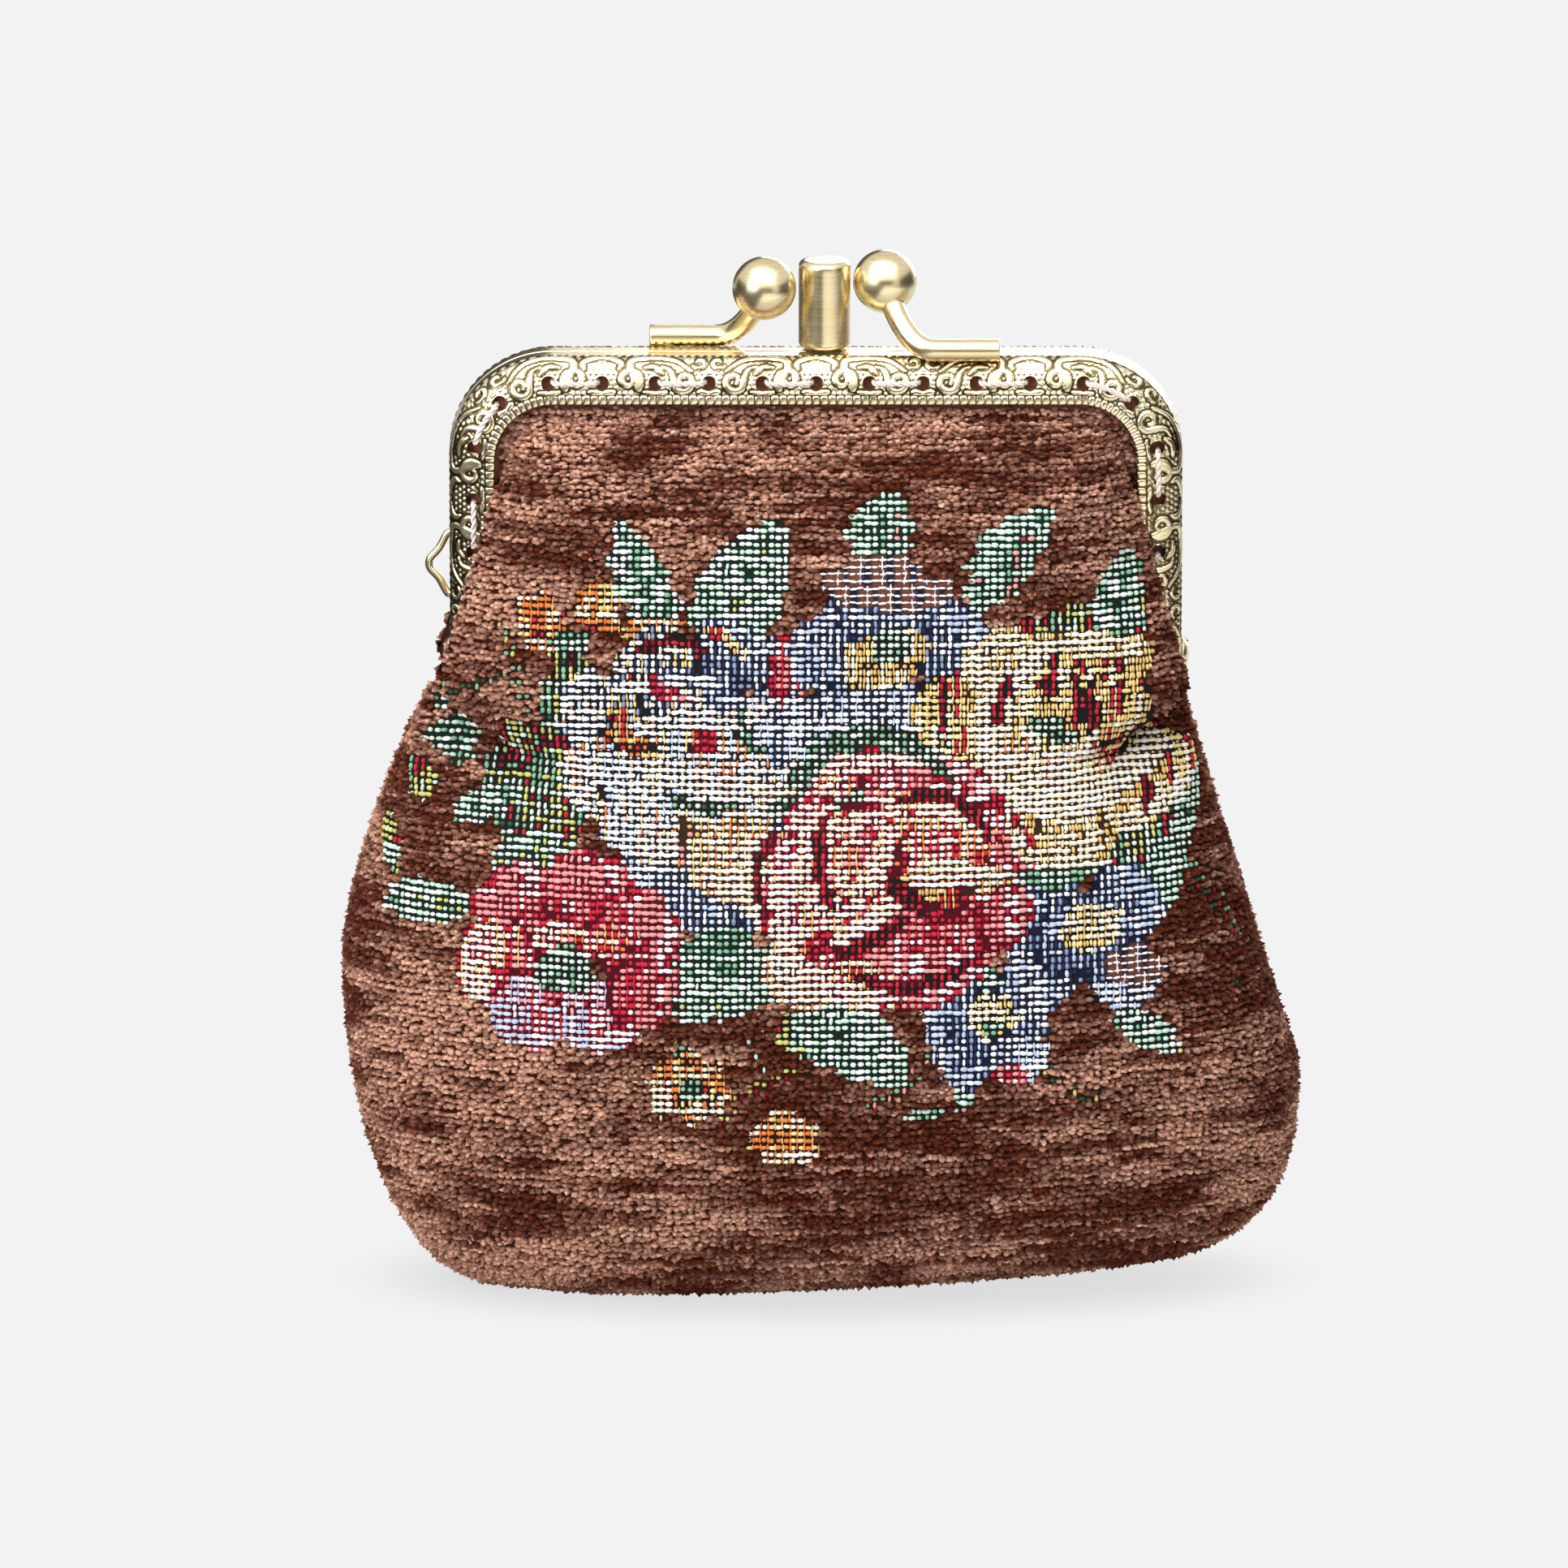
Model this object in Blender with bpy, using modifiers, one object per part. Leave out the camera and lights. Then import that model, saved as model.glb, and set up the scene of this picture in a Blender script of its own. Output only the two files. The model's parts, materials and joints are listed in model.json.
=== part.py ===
"""Coin purse: a chenille pouch sewn to a riveted kiss-lock frame of stamped brass.

Metres, +Z up. The purse stands on its base with the front towards -Y, and the frame's two halves
turn on rivets along X. The origin is under the middle of the purse, on the surface it stands on.
"""

import math

import bmesh
import bpy
from mathutils import Matrix, Vector

# Frame: two stamped arches, rim to rim when shut
FRAME_WIDTH = 0.085
RIM_HEIGHT = 0.111
HINGE_HEIGHT = 0.075
LEG_BELOW_HINGE = 0.0018
SPLIT_BELOW_LEGS = 0.0037
CORNER_RADIUS = 0.012
BAND_WIDTH = 0.0053
FRAME_DEPTH = 0.005
RIM_DEPTH = 0.002
SHEET_THICKNESS = 0.0006
CLOSING_GAP = 0.0004
CORNER_STEPS = 7
FACE_STEPS = 5

# Sewing holes and thread
HOLE_RADIUS = 0.00085
HOLE_FROM_INNER_EDGE = 0.0025
HOLE_PITCH = 0.0062
HOLE_END_MARGIN = 0.009
THREAD_RADIUS = 0.00042
THREAD_BEND = 0.0005
THREAD_GAP = 0.00015
CLOTH_HOLE_RADIUS = 0.0007

# Hinge ears and rivets
EAR_RADIUS = 0.0026
EAR_GAP = 0.0003
EAR_ARM_BELOW = 0.0015
EAR_ARM_ABOVE = 0.0021
RIVET_RADIUS = 0.0009
RIVET_CLEARANCE = 0.0001
RIVET_HEAD_RADIUS = 0.0019
RIVET_HEAD_HEIGHT = 0.0008
RIVET_TAIL_RADIUS = 0.0015
RIVET_TAIL_TIP_RADIUS = 0.0013
RIVET_TAIL_HEIGHT = 0.0006

# Clasp
CLASP_X = 0.001
BALL_RADIUS = 0.0037
BALL_HEIGHT = 0.0079
BALL_FORWARD = 0.0019
BALL_SOCKET = 0.0012
POST_RADIUS = 0.003
POST_LENGTH = 0.0104
POST_FILLET = 0.0007
POST_Y = 0.0013
BALL_POST_CLEARANCE = 0.0003
STEM_RADIUS = 0.0013
STEM_RUN_START = 0.0203
STEM_RUN_END = 0.0128
STEM_CORNER = 0.0092
STEM_SEAT_DEPTH = 0.003
STEM_STEPS = 10

# Chain loop on the left side of the back half
LOOP_WIRE_RADIUS = 0.00045
LOOP_HEIGHT = 0.0855
LOOP_SPAN = 0.0072
LOOP_REACH = 0.0026
LOOP_TIP_HALF = 0.0006
LOOP_TIP_DROP = 0.00016

# Cloth: outer chenille and inner lining, with the seams at the sides and under the base
CLOTH_THICKNESS = 0.0014
LINING_THICKNESS = 0.0007
LAYER_GAP = 0.0003
SEAM_GAP = 0.0003
SEAT_GAP = 0.0002
CLOTH_EDGE_INSET = 0.0012
FACE_CLEARANCE = 0.0004
CLOTH_BULGE_DEPTH = 0.011
BULGE_LENGTH = 0.008
BULGE_START_LENGTH = 0.002
PINCH_DEPTH = 0.0027

# Pouch outline, seen from the front, and its depth
LEFT_BELLY_WIDTH = 0.0557
LEFT_BELLY_HEIGHT = 0.039
LEFT_FULLNESS = 1.8
LEFT_CORNER_POWER = 2.0
LEFT_BASE_WIDTH = 0.039
LEFT_NECK_WIDTH = 0.0458
RIGHT_BELLY_WIDTH = 0.0564
RIGHT_BELLY_HEIGHT = 0.0257
RIGHT_FULLNESS = 1.0
RIGHT_CORNER_POWER = 3.0
RIGHT_BASE_WIDTH = 0.034
RIGHT_NECK_WIDTH = 0.0436
RIGHT_LIFT_HEIGHT = 0.0026
LIFT_START_WIDTH = 0.012
LIFT_END_WIDTH = 0.045
LIFT_FADE_HEIGHT = 0.035
BELLY_DEPTH = 0.022
BELLY_DEPTH_HEIGHT = 0.034
BASE_DEPTH = 0.0085
DEPTH_POWER = 2.4
SHOULDER_DEPTH = 0.016
NECK_DROP_HEIGHT = 0.003
NECK_BLEND_HEIGHT = 0.020
SECTION_POWER = 2.3
NECK_SECTION_POWER = 14.0
SEAM_END_INSET = 0.003
POUCH_COLUMNS = 16
POUCH_ROWS = 7
POUCH_ROW_CROWDING = 1.6
NECK_ROWS = (0.6, 1.0)
FRAME_CLOTH_ROWS = (0.0, 0.25, 0.6)
FRAME_CLOTH_COLUMN = 0.3
BULGE_STATIONS = (0.15, 1.0)

HALF_WIDTH = FRAME_WIDTH / 2
LEG_END = HINGE_HEIGHT - LEG_BELOW_HINGE
SPLIT_HEIGHT = LEG_END - SPLIT_BELOW_LEGS
NECK_HEIGHT = SPLIT_HEIGHT - NECK_DROP_HEIGHT
HOLE_LINE = BAND_WIDTH - HOLE_FROM_INNER_EDGE
LINING_INSET = CLOTH_THICKNESS + LAYER_GAP
TAIL_INSET = 2 * SHEET_THICKNESS + EAR_GAP + RIVET_CLEARANCE + RIVET_TAIL_HEIGHT
HINGE_CLOTH_EDGE = TAIL_INSET + LAYER_GAP
FRONT = -1
BACK = 1

BRASS = ("antique brass", (0.42, 0.31, 0.12, 1), 0.38, 1.0)
POLISHED = ("polished brass", (0.62, 0.50, 0.24, 1), 0.22, 1.0)
CHENILLE = ("brown chenille", (0.19, 0.065, 0.036, 1), 0.95, 0.0)
LINING_CLOTH = ("lining cotton", (0.15, 0.07, 0.045, 1), 0.9, 0.0)
THREAD = ("off-white thread", (0.78, 0.74, 0.66, 1), 0.8, 0.0)


def smoothstep(value):
    """0 below 0, 1 above 1, and an even S between."""
    t = min(1.0, max(0.0, value))
    return t * t * (3 - 2 * t)


def mix(first, second, share):
    return first + (second - first) * share


def material(finish):
    name, colour, roughness, metallic = finish
    made = bpy.data.materials.get(name)
    if made is None:
        made = bpy.data.materials.new(name)
        made.use_nodes = True
        shader = made.node_tree.nodes["Principled BSDF"]
        shader.inputs["Base Color"].default_value = colour
        shader.inputs["Roughness"].default_value = roughness
        shader.inputs["Metallic"].default_value = metallic
    return made


def add_object(name, data, collection, finish=None, parent=None):
    """Links an object, with its finish, under the empty that carries it."""
    made = bpy.data.objects.new(name, data)
    collection.objects.link(made)
    if finish:
        data.materials.append(material(finish))
    if parent:
        made.parent = parent
        made.matrix_parent_inverse = Matrix.Translation(-parent.location)
    return made


def helper(name, data):
    """A cutter or guide, which isn't part of the object."""
    made = add_object(name, data, cutters)
    made.hide_render = True
    made.display_type = "WIRE"
    return made


def mesh_from(bm, name):
    bmesh.ops.recalc_face_normals(bm, faces=bm.faces)
    if bm.calc_volume(signed=True) < 0:
        bmesh.ops.reverse_faces(bm, faces=bm.faces)
    mesh = bpy.data.meshes.new(name)
    bm.to_mesh(mesh)
    bm.free()
    return mesh


def poly_curve(name, points, closed=False, flat=False):
    curve = bpy.data.curves.new(name, "CURVE")
    curve.dimensions = "2D" if flat else "3D"
    spline = curve.splines.new("POLY")
    spline.points.add(len(points) - 1)
    for target, point in zip(spline.points, points):
        target.co = (*point, 0.0, 1.0) if flat else (*point, 1.0)
    spline.use_cyclic_u = closed
    return curve


def made_mesh(curve_object, name):
    """The curve object's shape as a mesh in world space, with its caps welded on."""
    bpy.context.view_layer.update()
    graph = bpy.context.evaluated_depsgraph_get()
    mesh = bpy.data.meshes.new_from_object(curve_object.evaluated_get(graph))
    mesh.transform(curve_object.matrix_world)
    bpy.data.objects.remove(curve_object)
    bm = bmesh.new()
    bm.from_mesh(mesh)
    bmesh.ops.remove_doubles(bm, verts=bm.verts, dist=1e-6)
    bpy.data.meshes.remove(mesh)
    return mesh_from(bm, name)


def boolean(target, tool, operation):
    modifier = target.modifiers.new(tool.name, "BOOLEAN")
    modifier.operation = operation
    modifier.object = tool


def smooth(target, degrees=40):
    target.data.shade_smooth()
    target.data.set_sharp_from_angle(angle=math.radians(degrees))


def arch_point(along, inset):
    """A point of the arch, `along` metres from the middle of its top, `inset` inside its outer edge.

    The arch is straight over the top, round at the corners and straight down the legs. Distances
    are counted on the line at the sewing holes. Gives x, z and the inward direction there.
    """
    side = math.copysign(1.0, along)
    rest = abs(along)
    radius = CORNER_RADIUS - HOLE_LINE
    straight = HALF_WIDTH - CORNER_RADIUS
    arc = radius * math.pi / 2
    if rest <= straight:
        return side * rest, RIM_HEIGHT - inset, (0.0, -1.0)
    if rest <= straight + arc:
        angle = (rest - straight) / radius
        reach = CORNER_RADIUS - inset
        x = straight + reach * math.sin(angle)
        z = RIM_HEIGHT - CORNER_RADIUS + reach * math.cos(angle)
        return side * x, z, (-side * math.sin(angle), -math.cos(angle))
    z = RIM_HEIGHT - CORNER_RADIUS - (rest - straight - arc)
    return side * (HALF_WIDTH - inset), z, (-side, 0.0)


def arch_half_length():
    radius = CORNER_RADIUS - HOLE_LINE
    leg = RIM_HEIGHT - CORNER_RADIUS - LEG_END
    return HALF_WIDTH - CORNER_RADIUS + radius * math.pi / 2 + leg


def arch_inset(x, z):
    """How far a point in the frame's plane lies inside the arch's outer edge."""
    across = abs(x) - (HALF_WIDTH - CORNER_RADIUS)
    up = z - (RIM_HEIGHT - CORNER_RADIUS)
    if across > 0 and up > 0:
        return CORNER_RADIUS - math.hypot(across, up)
    return CORNER_RADIUS - max(across, up)


def face_depth(inset, wall):
    """Depth of the frame's curved face, its outer skin (wall 0) or its inner one (wall SHEET_THICKNESS)."""
    width = BAND_WIDTH - wall
    share = min(1.0, max(0.0, (inset - wall) / width))
    return RIM_DEPTH + (FRAME_DEPTH - wall - RIM_DEPTH) * math.sqrt(1 - (1 - share) ** 2)


def face_angle_points(wall):
    """The face's quarter ellipse as (inset, depth) points, from the rim to the inner edge."""
    points = []
    for step in range(FACE_STEPS + 1):
        angle = math.pi / 2 * step / FACE_STEPS
        inset = wall + (BAND_WIDTH - wall) * (1 - math.cos(angle))
        depth = RIM_DEPTH + (FRAME_DEPTH - wall - RIM_DEPTH) * math.sin(angle)
        points.append((inset, depth))
    return points


def frame_section(side):
    """One half's section: a flat rim from the closing gap to the shoulder, then the curved face."""
    closing = CLOSING_GAP / 2
    outer = [(0.0, closing)] + face_angle_points(0.0)
    inner = [(SHEET_THICKNESS, closing)] + face_angle_points(SHEET_THICKNESS)
    return [(inset, -side * depth) for inset, depth in outer + inner[::-1]]


def frame_path():
    """The arch's outer edge, from the left leg's end over the top to the right leg's end."""
    straight = HALF_WIDTH - CORNER_RADIUS
    right = [(HALF_WIDTH, LEG_END)]
    for step in range(CORNER_STEPS + 1):
        angle = math.pi / 2 * (1 - step / CORNER_STEPS)
        x = straight + CORNER_RADIUS * math.sin(angle)
        right.append((x, RIM_HEIGHT - CORNER_RADIUS + CORNER_RADIUS * math.cos(angle)))
    left = [(-x, z) for x, z in right]
    return left + right[::-1]


def hole_places():
    """Distances of the sewing holes along the arch, counted from one in the middle of the top."""
    count = int((arch_half_length() - HOLE_END_MARGIN) / HOLE_PITCH)
    return [index * HOLE_PITCH for index in range(-count, count + 1)]


def hole_cutter(name, side, radius, segments):
    """Pegs along Y through every sewing hole of one half."""
    bm = bmesh.new()
    upright = Matrix.Rotation(math.pi / 2, 4, "X")
    for along in hole_places():
        x, z, _ = arch_point(along, HOLE_LINE)
        place = Matrix.Translation((x, side * FRAME_DEPTH / 2, z)) @ upright
        bmesh.ops.create_cone(
            bm, cap_ends=True, segments=segments, radius1=radius, radius2=radius,
            depth=FRAME_DEPTH * 2, matrix=place,
        )
    return helper(name, mesh_from(bm, name))


def disc(bm, low_x, high_x, radius, segments=24):
    """A round plate about the hinge axis between two places along X."""
    turn = Matrix.Rotation(math.pi / 2, 4, "Y")
    place = Matrix.Translation(((low_x + high_x) / 2, 0.0, HINGE_HEIGHT)) @ turn
    bmesh.ops.create_cone(
        bm, cap_ends=True, segments=segments, radius1=radius, radius2=radius,
        depth=abs(high_x - low_x), matrix=place,
    )


def hinge_discs(name, near, far, radius, segments=24):
    """The same round plate at both hinges, at insets `near` to `far` from the frame's sides."""
    bm = bmesh.new()
    for hand in (-1, 1):
        disc(bm, hand * (HALF_WIDTH - near), hand * (HALF_WIDTH - far), radius, segments)
    return helper(name, mesh_from(bm, name))


def back_ear_arms():
    """Flat arms from the back half's face to its ears, which lie inside the front half's ears."""
    near = SHEET_THICKNESS + EAR_GAP
    far = near + SHEET_THICKNESS
    reach = face_depth((near + far) / 2, SHEET_THICKNESS / 2)
    low = HINGE_HEIGHT - EAR_ARM_BELOW
    high = HINGE_HEIGHT + EAR_ARM_ABOVE
    bm = bmesh.new()
    for hand in (-1, 1):
        middle = Vector((hand * (HALF_WIDTH - (near + far) / 2), reach / 2, (low + high) / 2))
        size = Matrix.Diagonal((SHEET_THICKNESS, reach, high - low, 1.0))
        bmesh.ops.create_cube(bm, size=1.0, matrix=Matrix.Translation(middle) @ size)
    return helper("back_ear_arm_tool", mesh_from(bm, "back_ear_arm_tool"))


def make_frame(name, side, parent):
    """One half of the frame: a stamped section carried along the arch, with ears and holes."""
    section = poly_curve(name + "_section", frame_section(side), closed=True, flat=True)
    guide = helper(name + "_section", section)
    path = poly_curve(name + "_path", frame_path(), flat=True)
    path.bevel_mode = "OBJECT"
    path.bevel_object = guide
    path.use_fill_caps = True
    sweep = add_object(name + "_path", path, parts)
    sweep.rotation_euler.x = math.pi / 2
    frame = add_object(name, made_mesh(sweep, name), parts, BRASS, parent)
    if side == FRONT:
        boolean(frame, hinge_discs("front_ear_tool", 0.0, SHEET_THICKNESS, EAR_RADIUS), "UNION")
    else:
        relief = EAR_RADIUS + EAR_GAP
        wall = SHEET_THICKNESS + EAR_GAP / 2
        boolean(frame, hinge_discs("front_ear_relief", -SHEET_THICKNESS, wall, relief), "DIFFERENCE")
        near = SHEET_THICKNESS + EAR_GAP
        boolean(frame, back_ear_arms(), "UNION")
        boolean(frame, hinge_discs("back_ear_tool", near, near + SHEET_THICKNESS, EAR_RADIUS), "UNION")
    bore = RIVET_RADIUS + RIVET_CLEARANCE
    rivet_holes = hinge_discs(name + "_rivet_holes", -SHEET_THICKNESS, TAIL_INSET, bore, 20)
    boolean(frame, rivet_holes, "DIFFERENCE")
    boolean(frame, hole_cutter(name + "_holes", side, HOLE_RADIUS, 8), "DIFFERENCE")
    smooth(frame)
    return frame


def turned(name, profile, parent, finish, steps=24):
    """A turned solid: (radius, height) points down its outer side, spun about its axis."""
    bm = bmesh.new()
    points = [bm.verts.new((radius, 0.0, height)) for radius, height in profile]
    for first, second in zip(points, points[1:]):
        bm.edges.new((first, second))
    mesh = bpy.data.meshes.new(name)
    bm.to_mesh(mesh)
    bm.free()
    made = add_object(name, mesh, parts, finish, parent)
    screw = made.modifiers.new("turn", "SCREW")
    screw.steps = steps
    screw.render_steps = steps
    screw.use_merge_vertices = True
    screw.merge_threshold = 1e-5
    screw.use_smooth_shade = True
    return made


def make_rivet(name, hand, parent):
    """A rivet along X: a domed head outside the front ear and an upset tail inside the back ear."""
    under_head = RIVET_CLEARANCE
    over_tail = -(2 * SHEET_THICKNESS + EAR_GAP + RIVET_CLEARANCE)
    profile = [(0.0, under_head + RIVET_HEAD_HEIGHT)]
    for step in range(1, 5):
        angle = math.pi / 2 * step / 4
        rise = RIVET_HEAD_HEIGHT * math.cos(angle)
        profile.append((RIVET_HEAD_RADIUS * math.sin(angle), under_head + rise))
    profile += [
        (RIVET_RADIUS, under_head),
        (RIVET_RADIUS, over_tail),
        (RIVET_TAIL_RADIUS, over_tail),
        (RIVET_TAIL_TIP_RADIUS, over_tail - RIVET_TAIL_HEIGHT),
        (0.0, over_tail - RIVET_TAIL_HEIGHT),
    ]
    rivet = turned(name, profile, parent, BRASS, 16)
    rivet.location = (hand * HALF_WIDTH, 0.0, HINGE_HEIGHT)
    rivet.rotation_euler.y = hand * math.pi / 2
    return rivet


def make_post(parent):
    """The round post between the balls, on the back half's rim, with both edges rounded."""
    profile = [(0.0, POST_LENGTH)]
    for step in range(4):
        angle = math.pi / 2 * step / 3
        radius = POST_RADIUS - POST_FILLET * (1 - math.sin(angle))
        profile.append((radius, POST_LENGTH - POST_FILLET * (1 - math.cos(angle))))
    for step in range(4):
        angle = math.pi / 2 * step / 3
        radius = POST_RADIUS - POST_FILLET * (1 - math.cos(angle))
        profile.append((radius, POST_FILLET * (1 - math.sin(angle))))
    profile.append((0.0, 0.0))
    post = turned("clasp_post", profile, parent, POLISHED, 24)
    post.location = (CLASP_X, POST_Y, RIM_HEIGHT + SEAT_GAP)
    return post


def ball_place(side):
    """The front half's ball is on the right and behind the back half's, which is on the left."""
    reach = BALL_RADIUS + POST_RADIUS + BALL_POST_CLEARANCE
    return Vector((CLASP_X - side * reach, -side * BALL_FORWARD, RIM_HEIGHT + BALL_HEIGHT))


def stem_route(side):
    """The stem's centre line: a run on the frame's shoulder, then a bend up to the ball."""
    share = (STEM_SEAT_DEPTH - RIM_DEPTH) / (FRAME_DEPTH - RIM_DEPTH)
    angle = math.asin(share)
    up = (FRAME_DEPTH - RIM_DEPTH) * math.cos(angle)
    out = BAND_WIDTH * math.sin(angle)
    stand_off = (STEM_RADIUS + SEAT_GAP) / math.hypot(up, out)
    height = RIM_HEIGHT - BAND_WIDTH * (1 - math.cos(angle)) + up * stand_off
    depth = side * (STEM_SEAT_DEPTH + out * stand_off)
    start, bend, corner = (
        Vector((CLASP_X - side * reach, depth, height))
        for reach in (STEM_RUN_START, STEM_RUN_END, STEM_CORNER)
    )
    ball = ball_place(side)
    points = [start]
    for step in range(STEM_STEPS + 1):
        t = step / STEM_STEPS
        points.append(bend * (1 - t) ** 2 + corner * 2 * t * (1 - t) + ball * t**2)
    inside = BALL_RADIUS - BALL_SOCKET + SEAT_GAP
    points = [point for point in points if (point - ball).length > inside + STEM_RADIUS / 2]
    towards = (ball - corner).normalized()
    return points + [ball - towards * inside], towards


def make_clasp_arm(label, side, parent):
    """A bent stem on one half's shoulder and the ball that its end is let into."""
    route, towards = stem_route(side)
    curve = poly_curve(label + "_clasp_stem", route)
    curve.bevel_depth = STEM_RADIUS
    curve.bevel_resolution = 3
    curve.use_fill_caps = True
    rod = add_object(label + "_clasp_rod", curve, parts)
    stem_mesh = made_mesh(rod, label + "_clasp_stem")
    stem = add_object(label + "_clasp_stem", stem_mesh, parts, POLISHED, parent)
    smooth(stem)

    ball_name = label + "_clasp_ball"
    bm = bmesh.new()
    bmesh.ops.create_uvsphere(bm, u_segments=20, v_segments=12, radius=BALL_RADIUS)
    ball = add_object(ball_name, mesh_from(bm, ball_name), parts, POLISHED, parent)
    ball.location = ball_place(side)
    socket = bmesh.new()
    turn = towards.to_track_quat("Z", "Y").to_matrix().to_4x4()
    middle = ball_place(side) - towards * BALL_RADIUS
    bmesh.ops.create_cone(
        socket, cap_ends=True, segments=16, radius1=STEM_RADIUS + SEAT_GAP,
        radius2=STEM_RADIUS + SEAT_GAP, depth=2 * BALL_SOCKET,
        matrix=Matrix.Translation(middle) @ turn,
    )
    boolean(ball, helper(ball_name + "_socket", mesh_from(socket, ball_name + "_socket")), "DIFFERENCE")
    smooth(ball)


def make_chain_loop(parent):
    """A V of wire that stands out of the back half's left side, for a chain."""
    wall = -HALF_WIDTH - SEAT_GAP
    depth = (CLOSING_GAP / 2 + RIM_DEPTH) / 2
    knee = LOOP_WIRE_RADIUS
    ends = LOOP_SPAN / 2
    upper = [(0.0, ends), (knee, ends), (LOOP_REACH - LOOP_TIP_DROP, LOOP_TIP_HALF)]
    lower = [(out, -up) for out, up in upper[::-1]]
    route = upper + [(LOOP_REACH, 0.0)] + lower
    curve = poly_curve("chain_loop", [(wall - out, depth, LOOP_HEIGHT + up) for out, up in route])
    curve.bevel_depth = LOOP_WIRE_RADIUS
    curve.bevel_resolution = 2
    curve.use_fill_caps = True
    add_object("chain_loop", curve, parts, BRASS, parent)


def make_stitching(name, side, parent):
    """One running stitch: over the face from every second hole to the next, and back inside."""
    outside = face_depth(HOLE_LINE, 0.0) + THREAD_GAP + THREAD_RADIUS
    cloth_outside = face_depth(HOLE_LINE, SHEET_THICKNESS) - FACE_CLEARANCE
    inside = cloth_outside - LINING_INSET - LINING_THICKNESS - LAYER_GAP - THREAD_RADIUS
    places = hole_places()
    out_now = False
    route = []
    for number, along in enumerate(places):
        here, there = (outside, inside) if out_now else (inside, outside)
        turn = math.copysign(THREAD_BEND, there - here)
        bend = [(-THREAD_BEND, here), (0.0, here + turn), (0.0, there - turn), (THREAD_BEND, there)]
        if number == 0:
            bend = [(-2 * THREAD_BEND, here)] + bend
        if number == len(places) - 1:
            bend = bend + [(2 * THREAD_BEND, there)]
        for step, depth in bend:
            x, z, _ = arch_point(along + step, HOLE_LINE)
            route.append((x, side * depth, z))
        out_now = not out_now
    curve = poly_curve(name, route)
    curve.bevel_depth = THREAD_RADIUS
    curve.bevel_resolution = 1
    curve.use_fill_caps = True
    add_object(name, curve, parts, THREAD, parent)


def bulge(inset):
    """How far the cloth swells forward once it is clear of the frame's inner edge."""
    past = inset - BAND_WIDTH - BULGE_START_LENGTH
    return CLOTH_BULGE_DEPTH * (1 - math.exp(-past / BULGE_LENGTH)) if past > 0 else 0.0


def cloth_edge(z):
    """Half the cloth's width inside the frame at a height, narrower beside the hinge rivets."""
    narrow = 1 - smoothstep((z - HINGE_HEIGHT - EAR_RADIUS) / (2 * EAR_RADIUS))
    inset = mix(CLOTH_EDGE_INSET, HINGE_CLOTH_EDGE, narrow)
    radius = CORNER_RADIUS - inset
    up = z - (RIM_HEIGHT - CORNER_RADIUS)
    if up <= 0:
        return HALF_WIDTH - inset
    return HALF_WIDTH - CORNER_RADIUS + math.sqrt(max(0.0, radius**2 - up**2))


def frame_cloth_depth(under):
    """Depth of the cloth's outer surface inside the frame, by its distance under the arch's edge."""
    return max(PINCH_DEPTH, face_depth(under, SHEET_THICKNESS) - FACE_CLEARANCE) + bulge(under)


def upper_cloth(side):
    """Surface of the cloth inside the frame: place(across -1..1, height, inset) in world space."""

    def place(across, z, inset):
        x = across * cloth_edge(z)
        depth = frame_cloth_depth(arch_inset(x, z))
        return Vector((x, side * (depth - inset), z))

    return place


def outline(z, hand):
    """Half the pouch's width at a height, on the left (hand -1) or the right (hand 1)."""
    if hand < 0:
        belly, belly_z, fullness = LEFT_BELLY_WIDTH, LEFT_BELLY_HEIGHT, LEFT_FULLNESS
        power, base, neck = LEFT_CORNER_POWER, LEFT_BASE_WIDTH, LEFT_NECK_WIDTH
    else:
        belly, belly_z, fullness = RIGHT_BELLY_WIDTH, RIGHT_BELLY_HEIGHT, RIGHT_FULLNESS
        power, base, neck = RIGHT_CORNER_POWER, RIGHT_BASE_WIDTH, RIGHT_NECK_WIDTH
    if z <= belly_z:
        return base + (belly - base) * (1 - (1 - z / belly_z) ** power) ** (1 / power)
    if z <= NECK_HEIGHT:
        return belly - (belly - neck) * ((z - belly_z) / (NECK_HEIGHT - belly_z)) ** fullness
    top = HALF_WIDTH - HINGE_CLOTH_EDGE
    share = min(1.0, (z - NECK_HEIGHT) / (SPLIT_HEIGHT - NECK_HEIGHT))
    return top + (neck - top) * math.sqrt(1 - share**2)


def pouch_depth(x, z, neckward):
    """Half the pouch's depth at its middle, easing into the cloth's bulge below the frame."""
    if z <= BELLY_DEPTH_HEIGHT:
        low = 1 - z / BELLY_DEPTH_HEIGHT
        round_off = (1 - low**DEPTH_POWER) ** (1 / DEPTH_POWER)
        full = BASE_DEPTH + (BELLY_DEPTH - BASE_DEPTH) * round_off
    else:
        rise = (z - BELLY_DEPTH_HEIGHT) / (SPLIT_HEIGHT - BELLY_DEPTH_HEIGHT)
        full = BELLY_DEPTH - (BELLY_DEPTH - SHOULDER_DEPTH) * rise**2
    return mix(full, frame_cloth_depth(HALF_WIDTH - abs(x)), neckward)


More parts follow.
